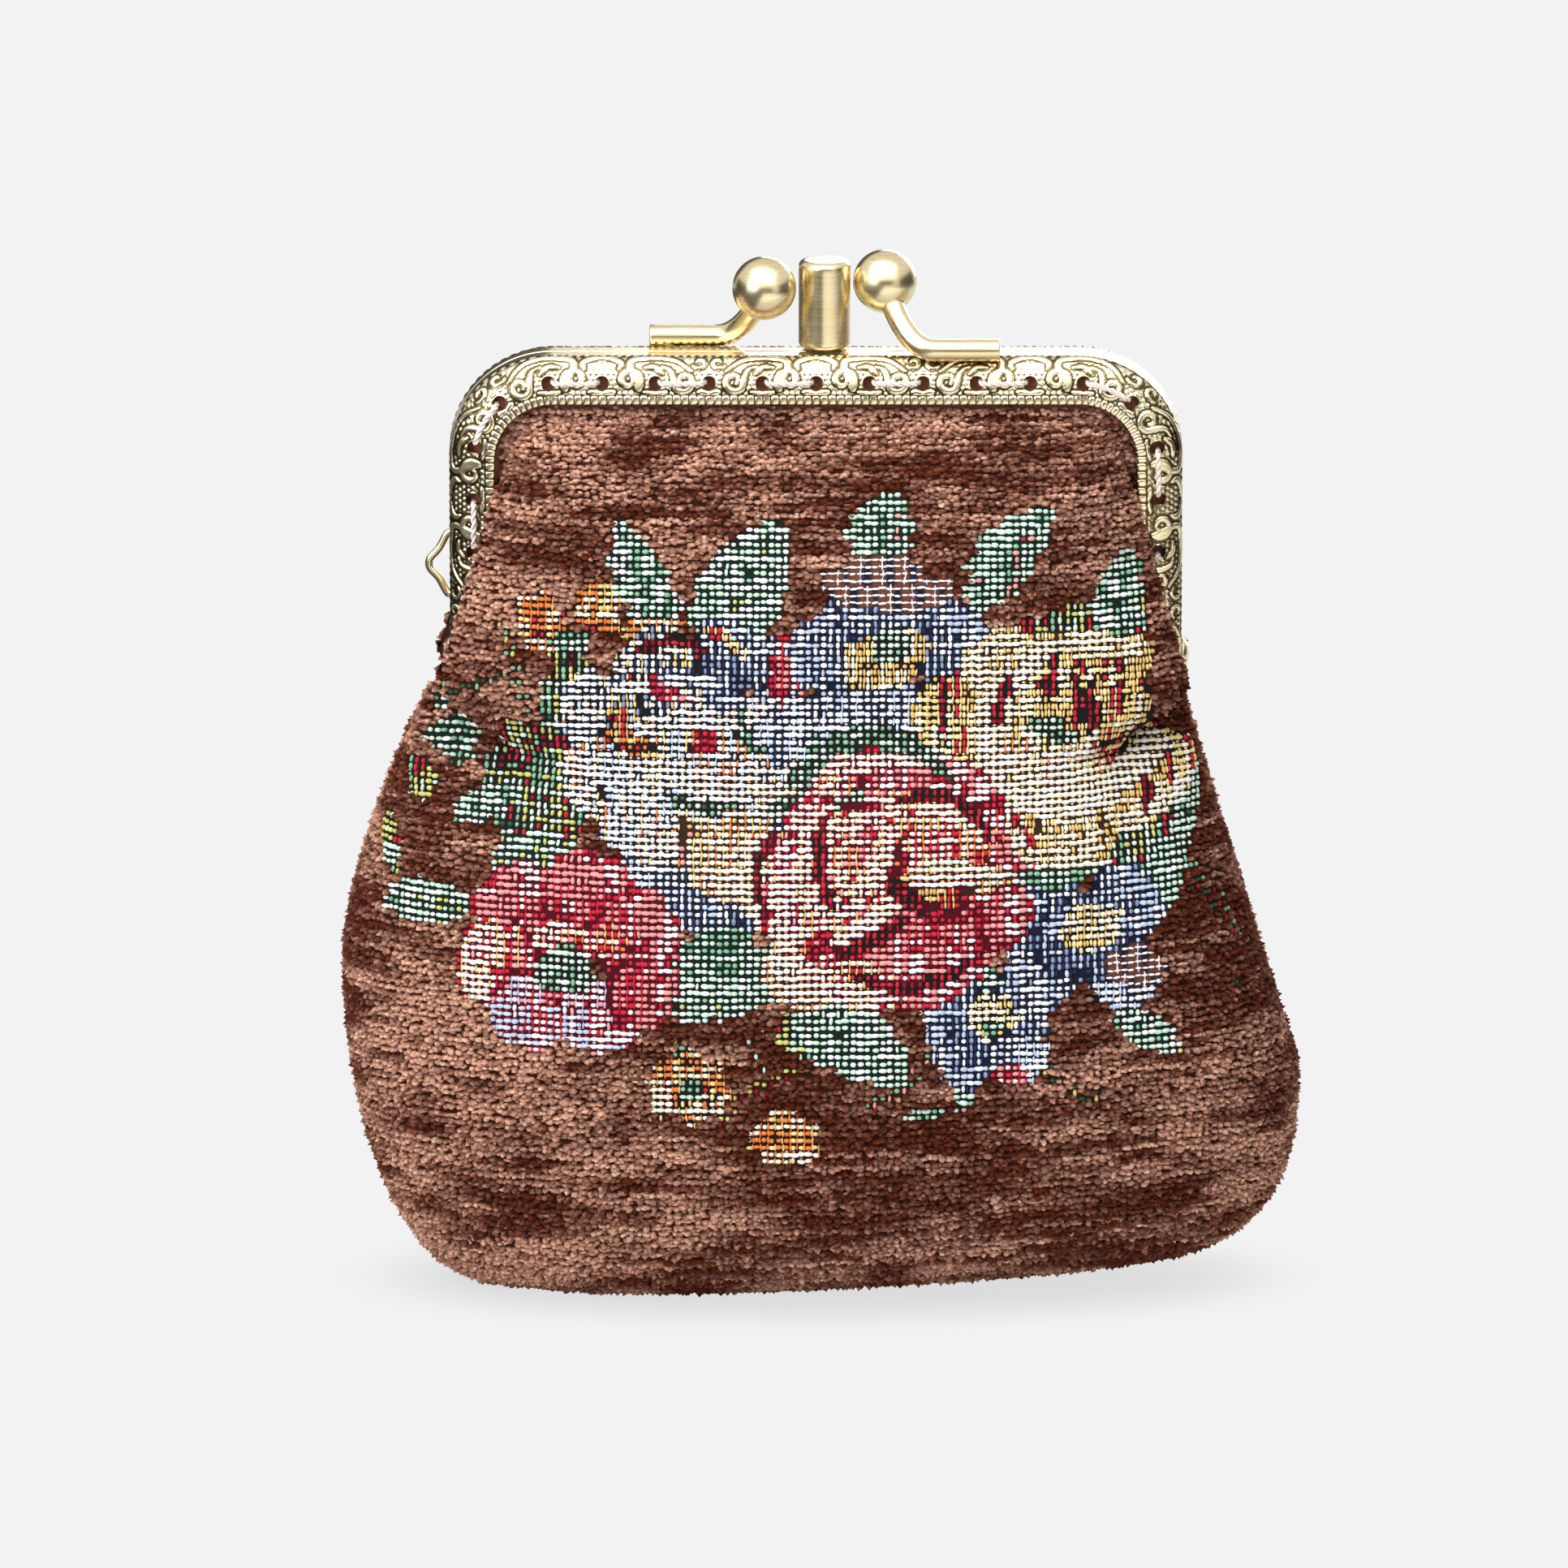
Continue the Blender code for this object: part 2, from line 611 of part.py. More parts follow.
def lower_cloth(side):
    """Surface of the pouch below the hinges: place(across -1..1, height, inset) in world space.

    A negative height is the seam under the base. Sections are superellipses that turn boxy at the
    neck, where the cloth is pinched flat between the hinges.
    """

    def place(across, height, inset):
        hand = -1 if across < 0 else 1
        z = max(0.0, height)
        neckward = 1 - smoothstep((SPLIT_HEIGHT - z) / NECK_BLEND_HEIGHT)
        lifted = inset + z * (SPLIT_HEIGHT - inset) / SPLIT_HEIGHT
        half = outline(z, hand) - inset
        if height < 0:
            half -= SEAM_END_INSET
        share = math.sin(across * math.pi / 2)
        x = share * half
        if height < 0:
            depth = 0.0
        else:
            power = mix(SECTION_POWER, NECK_SECTION_POWER, neckward**3)
            ends = max(0.0, 1 - abs(share) ** power) ** (1 / power)
            depth = (pouch_depth(x, z, neckward) - inset) * ends
        lift = smoothstep((x - LIFT_START_WIDTH) / (LIFT_END_WIDTH - LIFT_START_WIDTH))
        lift *= RIGHT_LIFT_HEIGHT * (1 - smoothstep(z / LIFT_FADE_HEIGHT))
        return Vector((x, side * max(depth, SEAM_GAP / 2), lifted + lift))

    return place


def make_cloth(name, place, columns, rows, layers, finish, parent):
    """A sewn panel: a grid carried onto its outer surface, extruded, its copy onto the inner one."""
    outer, inner = layers
    bm = bmesh.new()
    bmesh.ops.create_grid(bm, x_segments=len(columns) - 1, y_segments=len(rows) - 1, size=1.0)
    ordered = sorted(bm.verts, key=lambda vert: (round(vert.co.y, 4), vert.co.x))
    spots = {}
    for number, vert in enumerate(ordered):
        row, column = divmod(number, len(columns))
        spots[vert] = (columns[column], rows[row])
    flat = {tuple(round(value, 5) for value in vert.co): spots[vert] for vert in ordered}
    made = bmesh.ops.extrude_face_region(bm, geom=bm.faces[:])["geom"]
    copies = {item for item in made if isinstance(item, bmesh.types.BMVert)}
    for vert in bm.verts:
        across, height = flat[tuple(round(value, 5) for value in vert.co)]
        vert.co = place(across, height, inner if vert in copies else outer)
    panel = add_object(name, mesh_from(bm, name), parts, finish, parent)
    smooth(panel, 60)
    return panel


def upper_stations():
    """Columns and rows of the cloth inside the frame, closer together under the frame's face."""
    near = [CLOTH_EDGE_INSET, HOLE_LINE, BAND_WIDTH]
    near += [BAND_WIDTH + BULGE_START_LENGTH + BULGE_LENGTH * part for part in BULGE_STATIONS]
    wide = HALF_WIDTH - CLOTH_EDGE_INSET
    half = [(HALF_WIDTH - inset) / wide for inset in near] + [FRAME_CLOTH_COLUMN]
    columns = [-share for share in half] + [0.0] + half[::-1]
    bottom = SPLIT_HEIGHT + LAYER_GAP
    top = RIM_HEIGHT - near[-1]
    rows = [mix(bottom, top, part) for part in FRAME_CLOTH_ROWS]
    rows += [RIM_HEIGHT - inset for inset in near[::-1]]
    return columns, rows


def lower_stations():
    columns = [2 * number / POUCH_COLUMNS - 1 for number in range(POUCH_COLUMNS + 1)]
    rows = [-1.0]
    rows += [NECK_HEIGHT * (step / POUCH_ROWS) ** POUCH_ROW_CROWDING for step in range(POUCH_ROWS + 1)]
    rows += [mix(NECK_HEIGHT, SPLIT_HEIGHT, part) for part in NECK_ROWS]
    return columns, rows


def make_panels(label, side, half):
    """One side's outer cloth and lining, each in two parts that meet just below the hinges."""
    outer = (0.0, CLOTH_THICKNESS)
    inner = (LINING_INSET, LINING_INSET + LINING_THICKNESS)
    columns, rows = upper_stations()
    cutter = hole_cutter(label + "_cloth_holes", side, CLOTH_HOLE_RADIUS, 6)
    for name, layers, finish in (("panel", outer, CHENILLE), ("lining", inner, LINING_CLOTH)):
        sewn = f"{label}_{name}_upper"
        cloth = make_cloth(sewn, upper_cloth(side), columns, rows, layers, finish, half)
        boolean(cloth, cutter, "DIFFERENCE")
    columns, rows = lower_stations()
    place = lower_cloth(side)
    make_cloth(label + "_panel_lower", place, columns, rows, outer, CHENILLE, pouch)
    make_cloth(label + "_lining_lower", place, columns, rows, inner, LINING_CLOTH, pouch)


def add_empty(name, height):
    empty = bpy.data.objects.new(name, None)
    empty.location = (0.0, 0.0, height)
    parts.objects.link(empty)
    return empty


for old in list(bpy.data.objects):
    bpy.data.objects.remove(old)
parts = bpy.data.collections.new("coin_purse")
cutters = bpy.data.collections.new("cutters")
for made_collection in (parts, cutters):
    bpy.context.scene.collection.children.link(made_collection)

pouch = add_empty("pouch_base", 0.0)
front_half = add_empty("front_half_hinge", HINGE_HEIGHT)
back_half = add_empty("back_half_hinge", HINGE_HEIGHT)

for label, side, half in (("front", FRONT, front_half), ("back", BACK, back_half)):
    make_frame(label + "_frame", side, half)
    make_clasp_arm(label, side, half)
    make_stitching(label + "_stitching", side, half)
    make_panels(label, side, half)
make_post(back_half)
make_chain_loop(back_half)
make_rivet("left_hinge_rivet", -1, back_half)
make_rivet("right_hinge_rivet", 1, back_half)
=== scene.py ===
# %% [markdown]
# # A chenille coin purse on a kiss-lock frame
#
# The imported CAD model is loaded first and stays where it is. Every piece made below is dressed over
# it: two stamped brass halves, a ball clasp, the sewing thread, and two cuts of chenille with their
# lining. Lengths are in metres, and numpy works out every surface as whole arrays.

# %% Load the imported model
import json
import math

import bpy
import numpy as np
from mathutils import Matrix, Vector


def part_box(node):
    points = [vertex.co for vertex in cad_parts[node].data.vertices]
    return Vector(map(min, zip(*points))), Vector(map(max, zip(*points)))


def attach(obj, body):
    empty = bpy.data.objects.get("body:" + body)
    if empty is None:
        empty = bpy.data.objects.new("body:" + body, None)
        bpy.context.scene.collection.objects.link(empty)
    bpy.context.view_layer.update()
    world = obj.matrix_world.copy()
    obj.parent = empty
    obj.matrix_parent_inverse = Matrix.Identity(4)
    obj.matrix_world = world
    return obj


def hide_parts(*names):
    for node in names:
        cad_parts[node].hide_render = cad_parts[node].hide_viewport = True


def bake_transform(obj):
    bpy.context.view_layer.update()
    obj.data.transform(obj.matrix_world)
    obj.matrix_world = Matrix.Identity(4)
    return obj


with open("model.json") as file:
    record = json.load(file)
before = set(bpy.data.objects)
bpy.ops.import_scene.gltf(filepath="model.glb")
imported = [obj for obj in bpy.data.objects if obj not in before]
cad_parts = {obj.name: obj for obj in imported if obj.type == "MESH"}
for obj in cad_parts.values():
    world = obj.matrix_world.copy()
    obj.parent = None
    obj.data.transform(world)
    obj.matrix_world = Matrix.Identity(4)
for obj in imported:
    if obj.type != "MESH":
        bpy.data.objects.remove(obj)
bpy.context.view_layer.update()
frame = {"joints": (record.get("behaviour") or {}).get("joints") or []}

MM = 0.001
FRONT, BACK = -1, 1
SIDES = {"front": FRONT, "back": BACK}
HANDS = {"left": -1, "right": 1}
frame_low, frame_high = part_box("front_frame")
HALF_WIDTH = (frame_high.x - frame_low.x) / 2
RIM_HEIGHT = frame_high.z
FRAME_DEPTH = -frame_low.y
HINGE_HEIGHT = frame["joints"][0]["pos_m"][2]
print("frame", round(2 * HALF_WIDTH / MM, 1), "mm wide, rim at", round(RIM_HEIGHT / MM, 1), "mm")

# %% [markdown]
# ## Camera
#
# The photograph looks a little down on the purse from the front, through a long lens. Height, aim and
# distance are those that bring the solids' outline closest to the photograph's, and the lens is then
# worked out so that a millimetre at the purse's middle takes the same pixels.

# %% Camera
SENSOR = 36.0
PICTURE_PIXELS = 1932
PIXELS_PER_MM = 10.57
CAMERA_DISTANCE = 2.5
CAMERA_LIFT = math.radians(13.8)
CAMERA_AIM = Vector((-0.0037, 0.0, 0.0593))

camera_data = bpy.data.cameras.new("camera")
camera_data.sensor_width = SENSOR
camera_data.lens = SENSOR * PIXELS_PER_MM * CAMERA_DISTANCE / MM / PICTURE_PIXELS
camera_data.clip_end = 20.0
camera = bpy.data.objects.new("camera", camera_data)
bpy.context.scene.collection.objects.link(camera)
backwards = Vector((0.0, -math.cos(CAMERA_LIFT), math.sin(CAMERA_LIFT)))
camera.location = CAMERA_AIM + CAMERA_DISTANCE * backwards
camera.rotation_euler = (-backwards).to_track_quat("-Z", "Y").to_euler()
bpy.context.scene.camera = camera
bpy.context.scene.view_settings.view_transform = "Standard"
print("lens", round(camera_data.lens, 1), "mm")

# %% [markdown]
# ## Helpers for meshes
#
# A piece is an array of points and arrays of faces. foreach_set copies whole arrays into a mesh, which
# is much quicker than adding vertices one by one, and the same helper stores colours as attributes
# that the materials read.

# %% Mesh helpers
def smoothstep(value):
    """0 below 0, 1 above 1, and an even S between: 3t^2 - 2t^3."""
    t = np.clip(value, 0.0, 1.0)
    return t * t * (3 - 2 * t)


def mix(first, second, share):
    """A straight blend from first (share 0) to second (share 1)."""
    return first + (second - first) * share


def unit(vectors):
    """Vectors scaled to length 1 along the last axis."""
    return vectors / np.maximum(np.linalg.norm(vectors, axis=-1, keepdims=True), 1e-12)


def circle(count):
    """The angles that divide a full turn evenly."""
    return np.linspace(0, 2 * math.pi, count, endpoint=False)


def run_length(points):
    """Length along a line of points, from 0 at the first of them."""
    return np.append(0, np.cumsum(np.linalg.norm(np.diff(points, axis=0), axis=-1)))


def turned_over(faces, turn=True):
    """The same faces seen from the other side, where turn is true."""
    return faces[:, ::-1] if turn else faces


def grid_faces(rows, columns, closed=False):
    """Quads of a rows x columns grid of points; closed joins the last column to the first."""
    row = np.arange(rows - 1)[:, None]
    column = np.arange(columns if closed else columns - 1)[None, :]
    beside = (column + 1) % columns
    places = ((row, column), (row, beside), (row + 1, beside), (row + 1, column))
    return np.stack([i * columns + j for i, j in places], -1).reshape(-1, 4)


def rod_faces(rings, sides, turn=False):
    """Faces of rings of points carried along a path, with flat ends."""
    first = np.arange(sides)[None, :]
    faces = [grid_faces(rings, sides, closed=True), first[:, ::-1], first + (rings - 1) * sides]
    return [turned_over(face, turn) for face in faces]


def join(parts):
    """Several (points, [faces, ...]) shells as one."""
    points, faces, start = [], [], 0
    for part_points, part_faces in parts:
        points.append(part_points.reshape(-1, 3))
        faces += [face + start for face in part_faces]
        start += len(points[-1])
    return np.concatenate(points), faces


def make_piece(name, points, faces, material, floats=None, colours=None, uv=None):
    """A mesh object at the origin from points and a list of face arrays (one row per face)."""
    points = np.asarray(points, np.float32).reshape(-1, 3)
    mesh = bpy.data.meshes.new(name)
    mesh.vertices.add(len(points))
    mesh.vertices.foreach_set("co", points.ravel())
    corner = np.concatenate([np.asarray(f, np.int32).ravel() for f in faces])
    sizes = np.concatenate([np.full(len(f), np.asarray(f).shape[1], np.int32) for f in faces])
    mesh.loops.add(len(corner))
    mesh.loops.foreach_set("vertex_index", corner)
    mesh.polygons.add(len(sizes))
    mesh.polygons.foreach_set("loop_start", np.concatenate([[0], np.cumsum(sizes)[:-1]]).astype(np.int32))
    mesh.update(calc_edges=True)
    for key, values in (floats or {}).items():
        stored = mesh.attributes.new(key, "FLOAT", "POINT")
        stored.data.foreach_set("value", np.asarray(values, np.float32).ravel())
    for key, values in (colours or {}).items():
        values = np.asarray(values, np.float32).reshape(-1, 3)
        rgba = np.concatenate([values, np.ones((len(values), 1), np.float32)], 1)
        stored = mesh.attributes.new(key, "FLOAT_COLOR", "POINT")
        stored.data.foreach_set("color", rgba.ravel())
    if uv is not None:
        layer = mesh.uv_layers.new(name="cloth")
        layer.data.foreach_set("uv", np.asarray(uv, np.float32)[corner].ravel())
    mesh.shade_smooth()
    mesh.materials.append(material)
    made = bpy.data.objects.new(name, mesh)
    bpy.context.scene.collection.objects.link(made)
    print(name, len(points), "points,", int((sizes - 2).sum()), "triangles")
    return made


LATTICE = (97, 89)


def tiled(table, i, j):
    """A table of the lattice's size, repeated without end in both directions."""
    return table[i % LATTICE[0], j % LATTICE[1]]


def between_four(corner, i, j, share_i, share_j):
    """A value between four corners of a table: straight along one direction, then along the other."""
    lower = mix(corner(i, j), corner(i + 1, j), share_i)
    upper = mix(corner(i, j + 1), corner(i + 1, j + 1), share_i)
    return mix(lower, upper, share_j)


def soft_noise(u, v, step_u, step_v, seed):
    """Smooth random values from 0 to 1: a seeded lattice, read between its points with an S-curve."""
    lattice = np.random.default_rng(seed).random(LATTICE)
    a, b = np.asarray(u) / step_u, np.asarray(v) / step_v
    i, j = np.floor(a).astype(int), np.floor(b).astype(int)
    return between_four(lambda *at: tiled(lattice, *at), i, j, smoothstep(a - i), smoothstep(b - j))


def dress(piece, body, node):
    """Lets a piece ride on a body in place of a CAD node, which it hides."""
    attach(piece, body)
    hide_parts(node)


def linear(red, green, blue):
    """A screen colour of 0 to 255 as linear light, which is what Blender's sockets and attributes hold."""
    value = np.array([red, green, blue]) / 255
    return np.where(value <= 0.04045, value / 12.92, ((value + 0.055) / 1.055) ** 2.4)


# %% [markdown]
# ## Finishes
#
# Three effects are shared by several materials, so each is a node group with named sockets: loose
# fibres on yarn, brush marks on metal, and patina in the recesses of a stamping, which also paints
# shade where a piece sets its relief low for it. A group gives out colours, masks and heights only.
# The shader itself stays in each material.

# %% Node helpers and shared groups
def feed(tree, node, **inputs):
    """Sets sockets by name, with _ for a space, or links them where the value is another node's output."""
    for key, value in inputs.items():
        socket = node.inputs[int(key[1:]) if key[1:].isdigit() else key.replace("_", " ")]
        if hasattr(value, "is_output"):
            tree.links.new(value, socket)
        else:
            socket.default_value = value


def add_node(tree, kind, settings=None, **inputs):
    """A node with its settings and sockets; a socket without a name of its own is _ and its number."""
    made = tree.nodes.new(kind)
    for key, value in (settings or {}).items():
        setattr(made, key, value)
    feed(tree, made, **inputs)
    return made


def math_node(tree, operation, first, second):
    """A Math node; each operand is a socket or a number."""
    return add_node(tree, "ShaderNodeMath", {"operation": operation}, _0=first, _1=second).outputs[0]


def weighted(tree, first, share, second):
    """share of the first value and the rest of the second."""
    pairs = ((first, share), (second, 1 - share))
    return math_node(tree, "ADD", *(math_node(tree, "MULTIPLY", value, part) for value, part in pairs))


def mix_colour(tree, factor, first, second, blend="MIX"):
    """A colour mix; each operand is a socket, a number or a colour."""
    settings = {"data_type": "RGBA", "blend_type": blend}
    return add_node(tree, "ShaderNodeMix", settings, _0=factor, _6=first, _7=second).outputs[2]


def ramp_value(tree, value, low, high, to_low=0.0, to_high=1.0):
    """A smooth step of a value from low to high, mapped to another range."""
    settings = {"interpolation_type": "SMOOTHSTEP"}
    made = add_node(tree, "ShaderNodeMapRange", settings, _0=value, _1=low, _2=high, _3=to_low, _4=to_high)
    return made.outputs[0]


def new_group(name, inputs, outputs):
    """An empty node group with its sockets; gives the tree, its inputs' values and its output node."""
    tree = bpy.data.node_groups.new(name, "ShaderNodeTree")
    for label, (kind, value) in inputs.items():
        tree.interface.new_socket(label, in_out="INPUT", socket_type=kind).default_value = value
    for label, kind in outputs.items():
        tree.interface.new_socket(label, in_out="OUTPUT", socket_type=kind)
    return tree, tree.nodes.new("NodeGroupInput").outputs, tree.nodes.new("NodeGroupOutput")


def noise(tree, vector, scale, detail):
    """The value of a noise texture; scale is in spots for each unit of the vector."""
    return add_node(tree, "ShaderNodeTexNoise", Scale=scale, Detail=detail, Vector=vector).outputs["Fac"]


FLOAT, COLOUR, VECTOR = "NodeSocketFloat", "NodeSocketColor", "NodeSocketVector"
ORIGIN, WHITE, BLACK = (0, 0, 0), (1, 1, 1, 1), (0, 0, 0, 1)

fibres, given, result = new_group(
    "loose_fibres",
    {"Tint": (COLOUR, WHITE), "Spread": (FLOAT, 0.5), "Vector": (VECTOR, ORIGIN)},
    {"Color": COLOUR, "Height": FLOAT},
)
fine = noise(fibres, given["Vector"], 9000.0, 4.0)
clump = noise(fibres, given["Vector"], 2600.0, 2.0)
together = weighted(fibres, fine, 0.6, clump)
apart = math_node(fibres, "SUBTRACT", ramp_value(fibres, together, 0.3, 0.7, 0.45, 1.5), 1.0)
toned = math_node(fibres, "ADD", 1.0, math_node(fibres, "MULTIPLY", given["Spread"], apart))
grey = add_node(fibres, "ShaderNodeCombineColor", _0=toned, _1=toned, _2=toned).outputs[0]
feed(fibres, result, Color=mix_colour(fibres, 1.0, given["Tint"], grey, "MULTIPLY"), Height=together)

brush, given, result = new_group(
    "brush_marks",
    {"Vector": (VECTOR, ORIGIN), "Base": (FLOAT, 0.25), "Depth": (FLOAT, 0.15)},
    {"Roughness": FLOAT, "Tone": FLOAT, "Height": FLOAT},
)
hairline = noise(brush, given["Vector"], 1.0, 5.0)
marks = weighted(brush, hairline, 0.7, noise(brush, given["Vector"], 0.12, 2.0))
uneven = math_node(brush, "MULTIPLY", math_node(brush, "SUBTRACT", marks, 0.5), given["Depth"])
feed(brush, result, Roughness=math_node(brush, "ADD", given["Base"], uneven),
     Tone=ramp_value(brush, marks, 0.3, 0.7), Height=hairline)

patina_and_shade, given, result = new_group(
    "recess_patina",
    {"Relief": (FLOAT, 1.0), "Vector": (VECTOR, ORIGIN),
     "Bright": (COLOUR, WHITE), "Dark": (COLOUR, BLACK)},
    {"Color": COLOUR, "Mask": FLOAT},
)
blotch = math_node(patina_and_shade, "SUBTRACT", noise(patina_and_shade, given["Vector"], 900.0, 4.0), 0.5)
uneven = math_node(patina_and_shade, "ADD", given["Relief"], math_node(patina_and_shade, "MULTIPLY", blotch, 0.5))
raised = ramp_value(patina_and_shade, uneven, 0.12, 0.62)
feed(patina_and_shade, result, Color=mix_colour(patina_and_shade, raised, given["Dark"], given["Bright"]), Mask=raised)
print("node groups:", [group.name for group in bpy.data.node_groups])


# %% Materials
def start_material(name):
    """A node material with its Principled shader, ready to be wired."""
    made = bpy.data.materials.new(name)
    made.use_nodes = True
    tree = made.node_tree
    return made, tree, tree.nodes["Principled BSDF"]


def use_group(tree, group, **inputs):
    """A node that runs a shared group on these inputs; gives its outputs."""
    return add_node(tree, "ShaderNodeGroup", {"node_tree": group}, **inputs).outputs


def attribute(tree, name):
    """The outputs of a node that reads a value stored on the mesh."""
    return add_node(tree, "ShaderNodeAttribute", {"attribute_name": name}).outputs


def object_place(tree):
    """Object coordinates in metres."""
    return add_node(tree, "ShaderNodeTexCoord").outputs["Object"]


def bump(tree, height, strength, distance):
    """A normal that follows a height."""
    made = add_node(tree, "ShaderNodeBump", Strength=strength, Distance=distance, Height=height)
    return made.outputs["Normal"]


def yarn_material(name, spread, roughness, sheen, sheen_colour, bump_distance):
    """Yarn whose colour is stored on the mesh as tint, broken up by loose fibres."""
    made, tree, shader = start_material(name)
    tint = attribute(tree, "tint")["Color"]
    loose = use_group(tree, fibres, Tint=tint, Spread=spread, Vector=object_place(tree))
    feed(tree, shader, Base_Color=loose["Color"], Roughness=roughness, Specular_IOR_Level=0.08,
         Sheen_Weight=sheen, Sheen_Roughness=0.45, Sheen_Tint=(*sheen_colour, 1.0),
         Normal=bump(tree, loose["Height"], 0.8, bump_distance))
    return made


def brass_material(name, bright, dark, stretch, base, depth, bump_distance):
    """Brass with brush marks, and patina where the relief attribute is low, which also paints shade where a
    piece sets it low.
    """
    made, tree, shader = start_material(name)
    relief = attribute(tree, "relief")["Fac"]
    stretched = add_node(tree, "ShaderNodeMapping", Scale=stretch, Vector=object_place(tree))
    marks = use_group(tree, brush, Vector=stretched.outputs["Vector"], Base=base, Depth=depth)
    aged_and_shaded = use_group(
        tree, patina_and_shade, Relief=relief, Vector=object_place(tree), Bright=(*bright, 1), Dark=(*dark, 1))
    tone_and_shade = mix_colour(tree, 0.22, aged_and_shaded["Color"], marks["Tone"], "OVERLAY")
    feed(tree, shader, Base_Color=tone_and_shade, Roughness=marks["Roughness"], Metallic=1.0,
         Normal=bump(tree, marks["Height"], 0.5, bump_distance))
    return made


PILE_SHEEN = (1.0, 0.72, 0.58)
THREAD_SHEEN = (1.0, 1.0, 1.0)
chenille_pile = yarn_material("chenille_pile", 0.9, 0.95, 0.06, PILE_SHEEN, 0.16 * MM)
chenille_ground = yarn_material("chenille_ground", 0.5, 0.95, 0.0, PILE_SHEEN, 0.08 * MM)
woven_thread = yarn_material("woven_thread", 0.22, 0.6, 0.1, THREAD_SHEEN, 0.04 * MM)
sewing_thread = yarn_material("sewing_thread", 0.3, 0.7, 0.2, THREAD_SHEEN, 0.05 * MM)
lining_cotton = yarn_material("lining_cotton", 0.35, 0.9, 0.1, PILE_SHEEN, 0.05 * MM)
antique_brass = brass_material(
    "antique_brass", (0.82, 0.71, 0.47), (0.11, 0.08, 0.035), (900, 900, 900), 0.24, 0.10, 0.004 * MM)
polished_brass = brass_material(
    "polished_brass", (0.80, 0.67, 0.41), (0.24, 0.18, 0.09), (220, 220, 4200), 0.27, 0.14, 0.006 * MM)
print("materials:", [material.name for material in bpy.data.materials][-7:])

# %% [markdown]
# ## The frame's arch
#
# Both halves follow one arch: straight over the top, round at the corners, straight down the legs.
# These formulas repeat the ones that the CAD solids were built from, with arrays in place of single
# numbers, so that the dressed pieces lie on the solids.

# %% Arch and face formulas
LEG_END = HINGE_HEIGHT - 1.8 * MM
CORNER_RADIUS = 12.0 * MM
BAND_WIDTH = 5.3 * MM
RIM_DEPTH = 2.0 * MM
SHEET = 0.6 * MM
CLOSING_GAP = 0.4 * MM
HOLE_LINE = BAND_WIDTH - 2.5 * MM
HOLE_RADIUS = 0.85 * MM
HOLE_PITCH = 6.2 * MM
HOLE_END_MARGIN = 9.0 * MM
STRAIGHT = HALF_WIDTH - CORNER_RADIUS
LINE_RADIUS = CORNER_RADIUS - HOLE_LINE
ARC = LINE_RADIUS * math.pi / 2
LEG = RIM_HEIGHT - CORNER_RADIUS - LEG_END
ARCH_HALF = STRAIGHT + ARC + LEG


def arch_point(along, inset):
    """x, z and the inward direction at `along` from the top's middle and `inset` from the outer edge.

    `along` is counted on the line of the sewing holes: straight, then a quarter circle, then straight.
    """
    along, inset = np.broadcast_arrays(np.asarray(along, float), np.asarray(inset, float))
    hand = np.where(along < 0, -1.0, 1.0)
    rest = np.abs(along)
    angle = np.clip((rest - STRAIGHT) / LINE_RADIUS, 0.0, math.pi / 2)
    reach = CORNER_RADIUS - inset
    x = np.minimum(rest, STRAIGHT) + reach * np.sin(angle)
    z = RIM_HEIGHT - CORNER_RADIUS + reach * np.cos(angle) - np.maximum(0.0, rest - STRAIGHT - ARC)
    return hand * x, z, -hand * np.sin(angle), -np.cos(angle)


def arch_inset(x, z):
    """How far a point of the frame's plane lies inside the arch's outer edge."""
    across = np.abs(x) - STRAIGHT
    up = z - (RIM_HEIGHT - CORNER_RADIUS)
    corner = CORNER_RADIUS - np.hypot(across, up)
    return np.where((across > 0) & (up > 0), corner, CORNER_RADIUS - np.maximum(across, up))


def face_depth(inset, wall):
    """Depth of the curved face, a quarter ellipse from the shoulder to the inner edge."""
    share = np.clip((inset - wall) / (BAND_WIDTH - wall), 0.0, 1.0)
    return RIM_DEPTH + (FRAME_DEPTH - wall - RIM_DEPTH) * np.sqrt(1 - (1 - share) ** 2)


hole_count = int((ARCH_HALF - HOLE_END_MARGIN) / HOLE_PITCH)
hole_places = HOLE_PITCH * np.arange(-hole_count, hole_count + 1)
print("arch", round(2 * ARCH_HALF / MM, 1), "mm along the holes,", len(hole_places), "holes a half")

# %% [markdown]
# ## Stamped ornament
#
# The brass is embossed with scrolls on a stippled ground, a line of small beads on the shoulder and a
# line of tongues along the inner edge. A bump map would vanish at the outline, so the ornament is a
# height field: one repeat of it is worked out as a table of distances to a few scroll lines, and the
# frame's fine grid reads its height from that table, mirrored in every second repeat.

# %% One repeat of the scrollwork
REPEAT = 2 * HOLE_PITCH
TABLE_STEP = 0.03 * MM
SCROLL_HEIGHT = 0.15 * MM
SCROLL_EDGE = 0.10 * MM
OUTLINE_WIDTH = 0.27 * MM
DOT_PITCH = 0.68 * MM
DOT_ROW = 0.866 * DOT_PITCH
DOT_RADIUS = 0.23 * MM
DOT_HEIGHT = 0.12 * MM
STIPPLE_FROM_SHOULDER = 0.7 * MM
STIPPLE_FROM_EDGE = 1.2 * MM
GROUND_RELIEF = 0.50
DOT_RELIEF = 0.8
RIM_LENGTH = RIM_DEPTH - CLOSING_GAP / 2


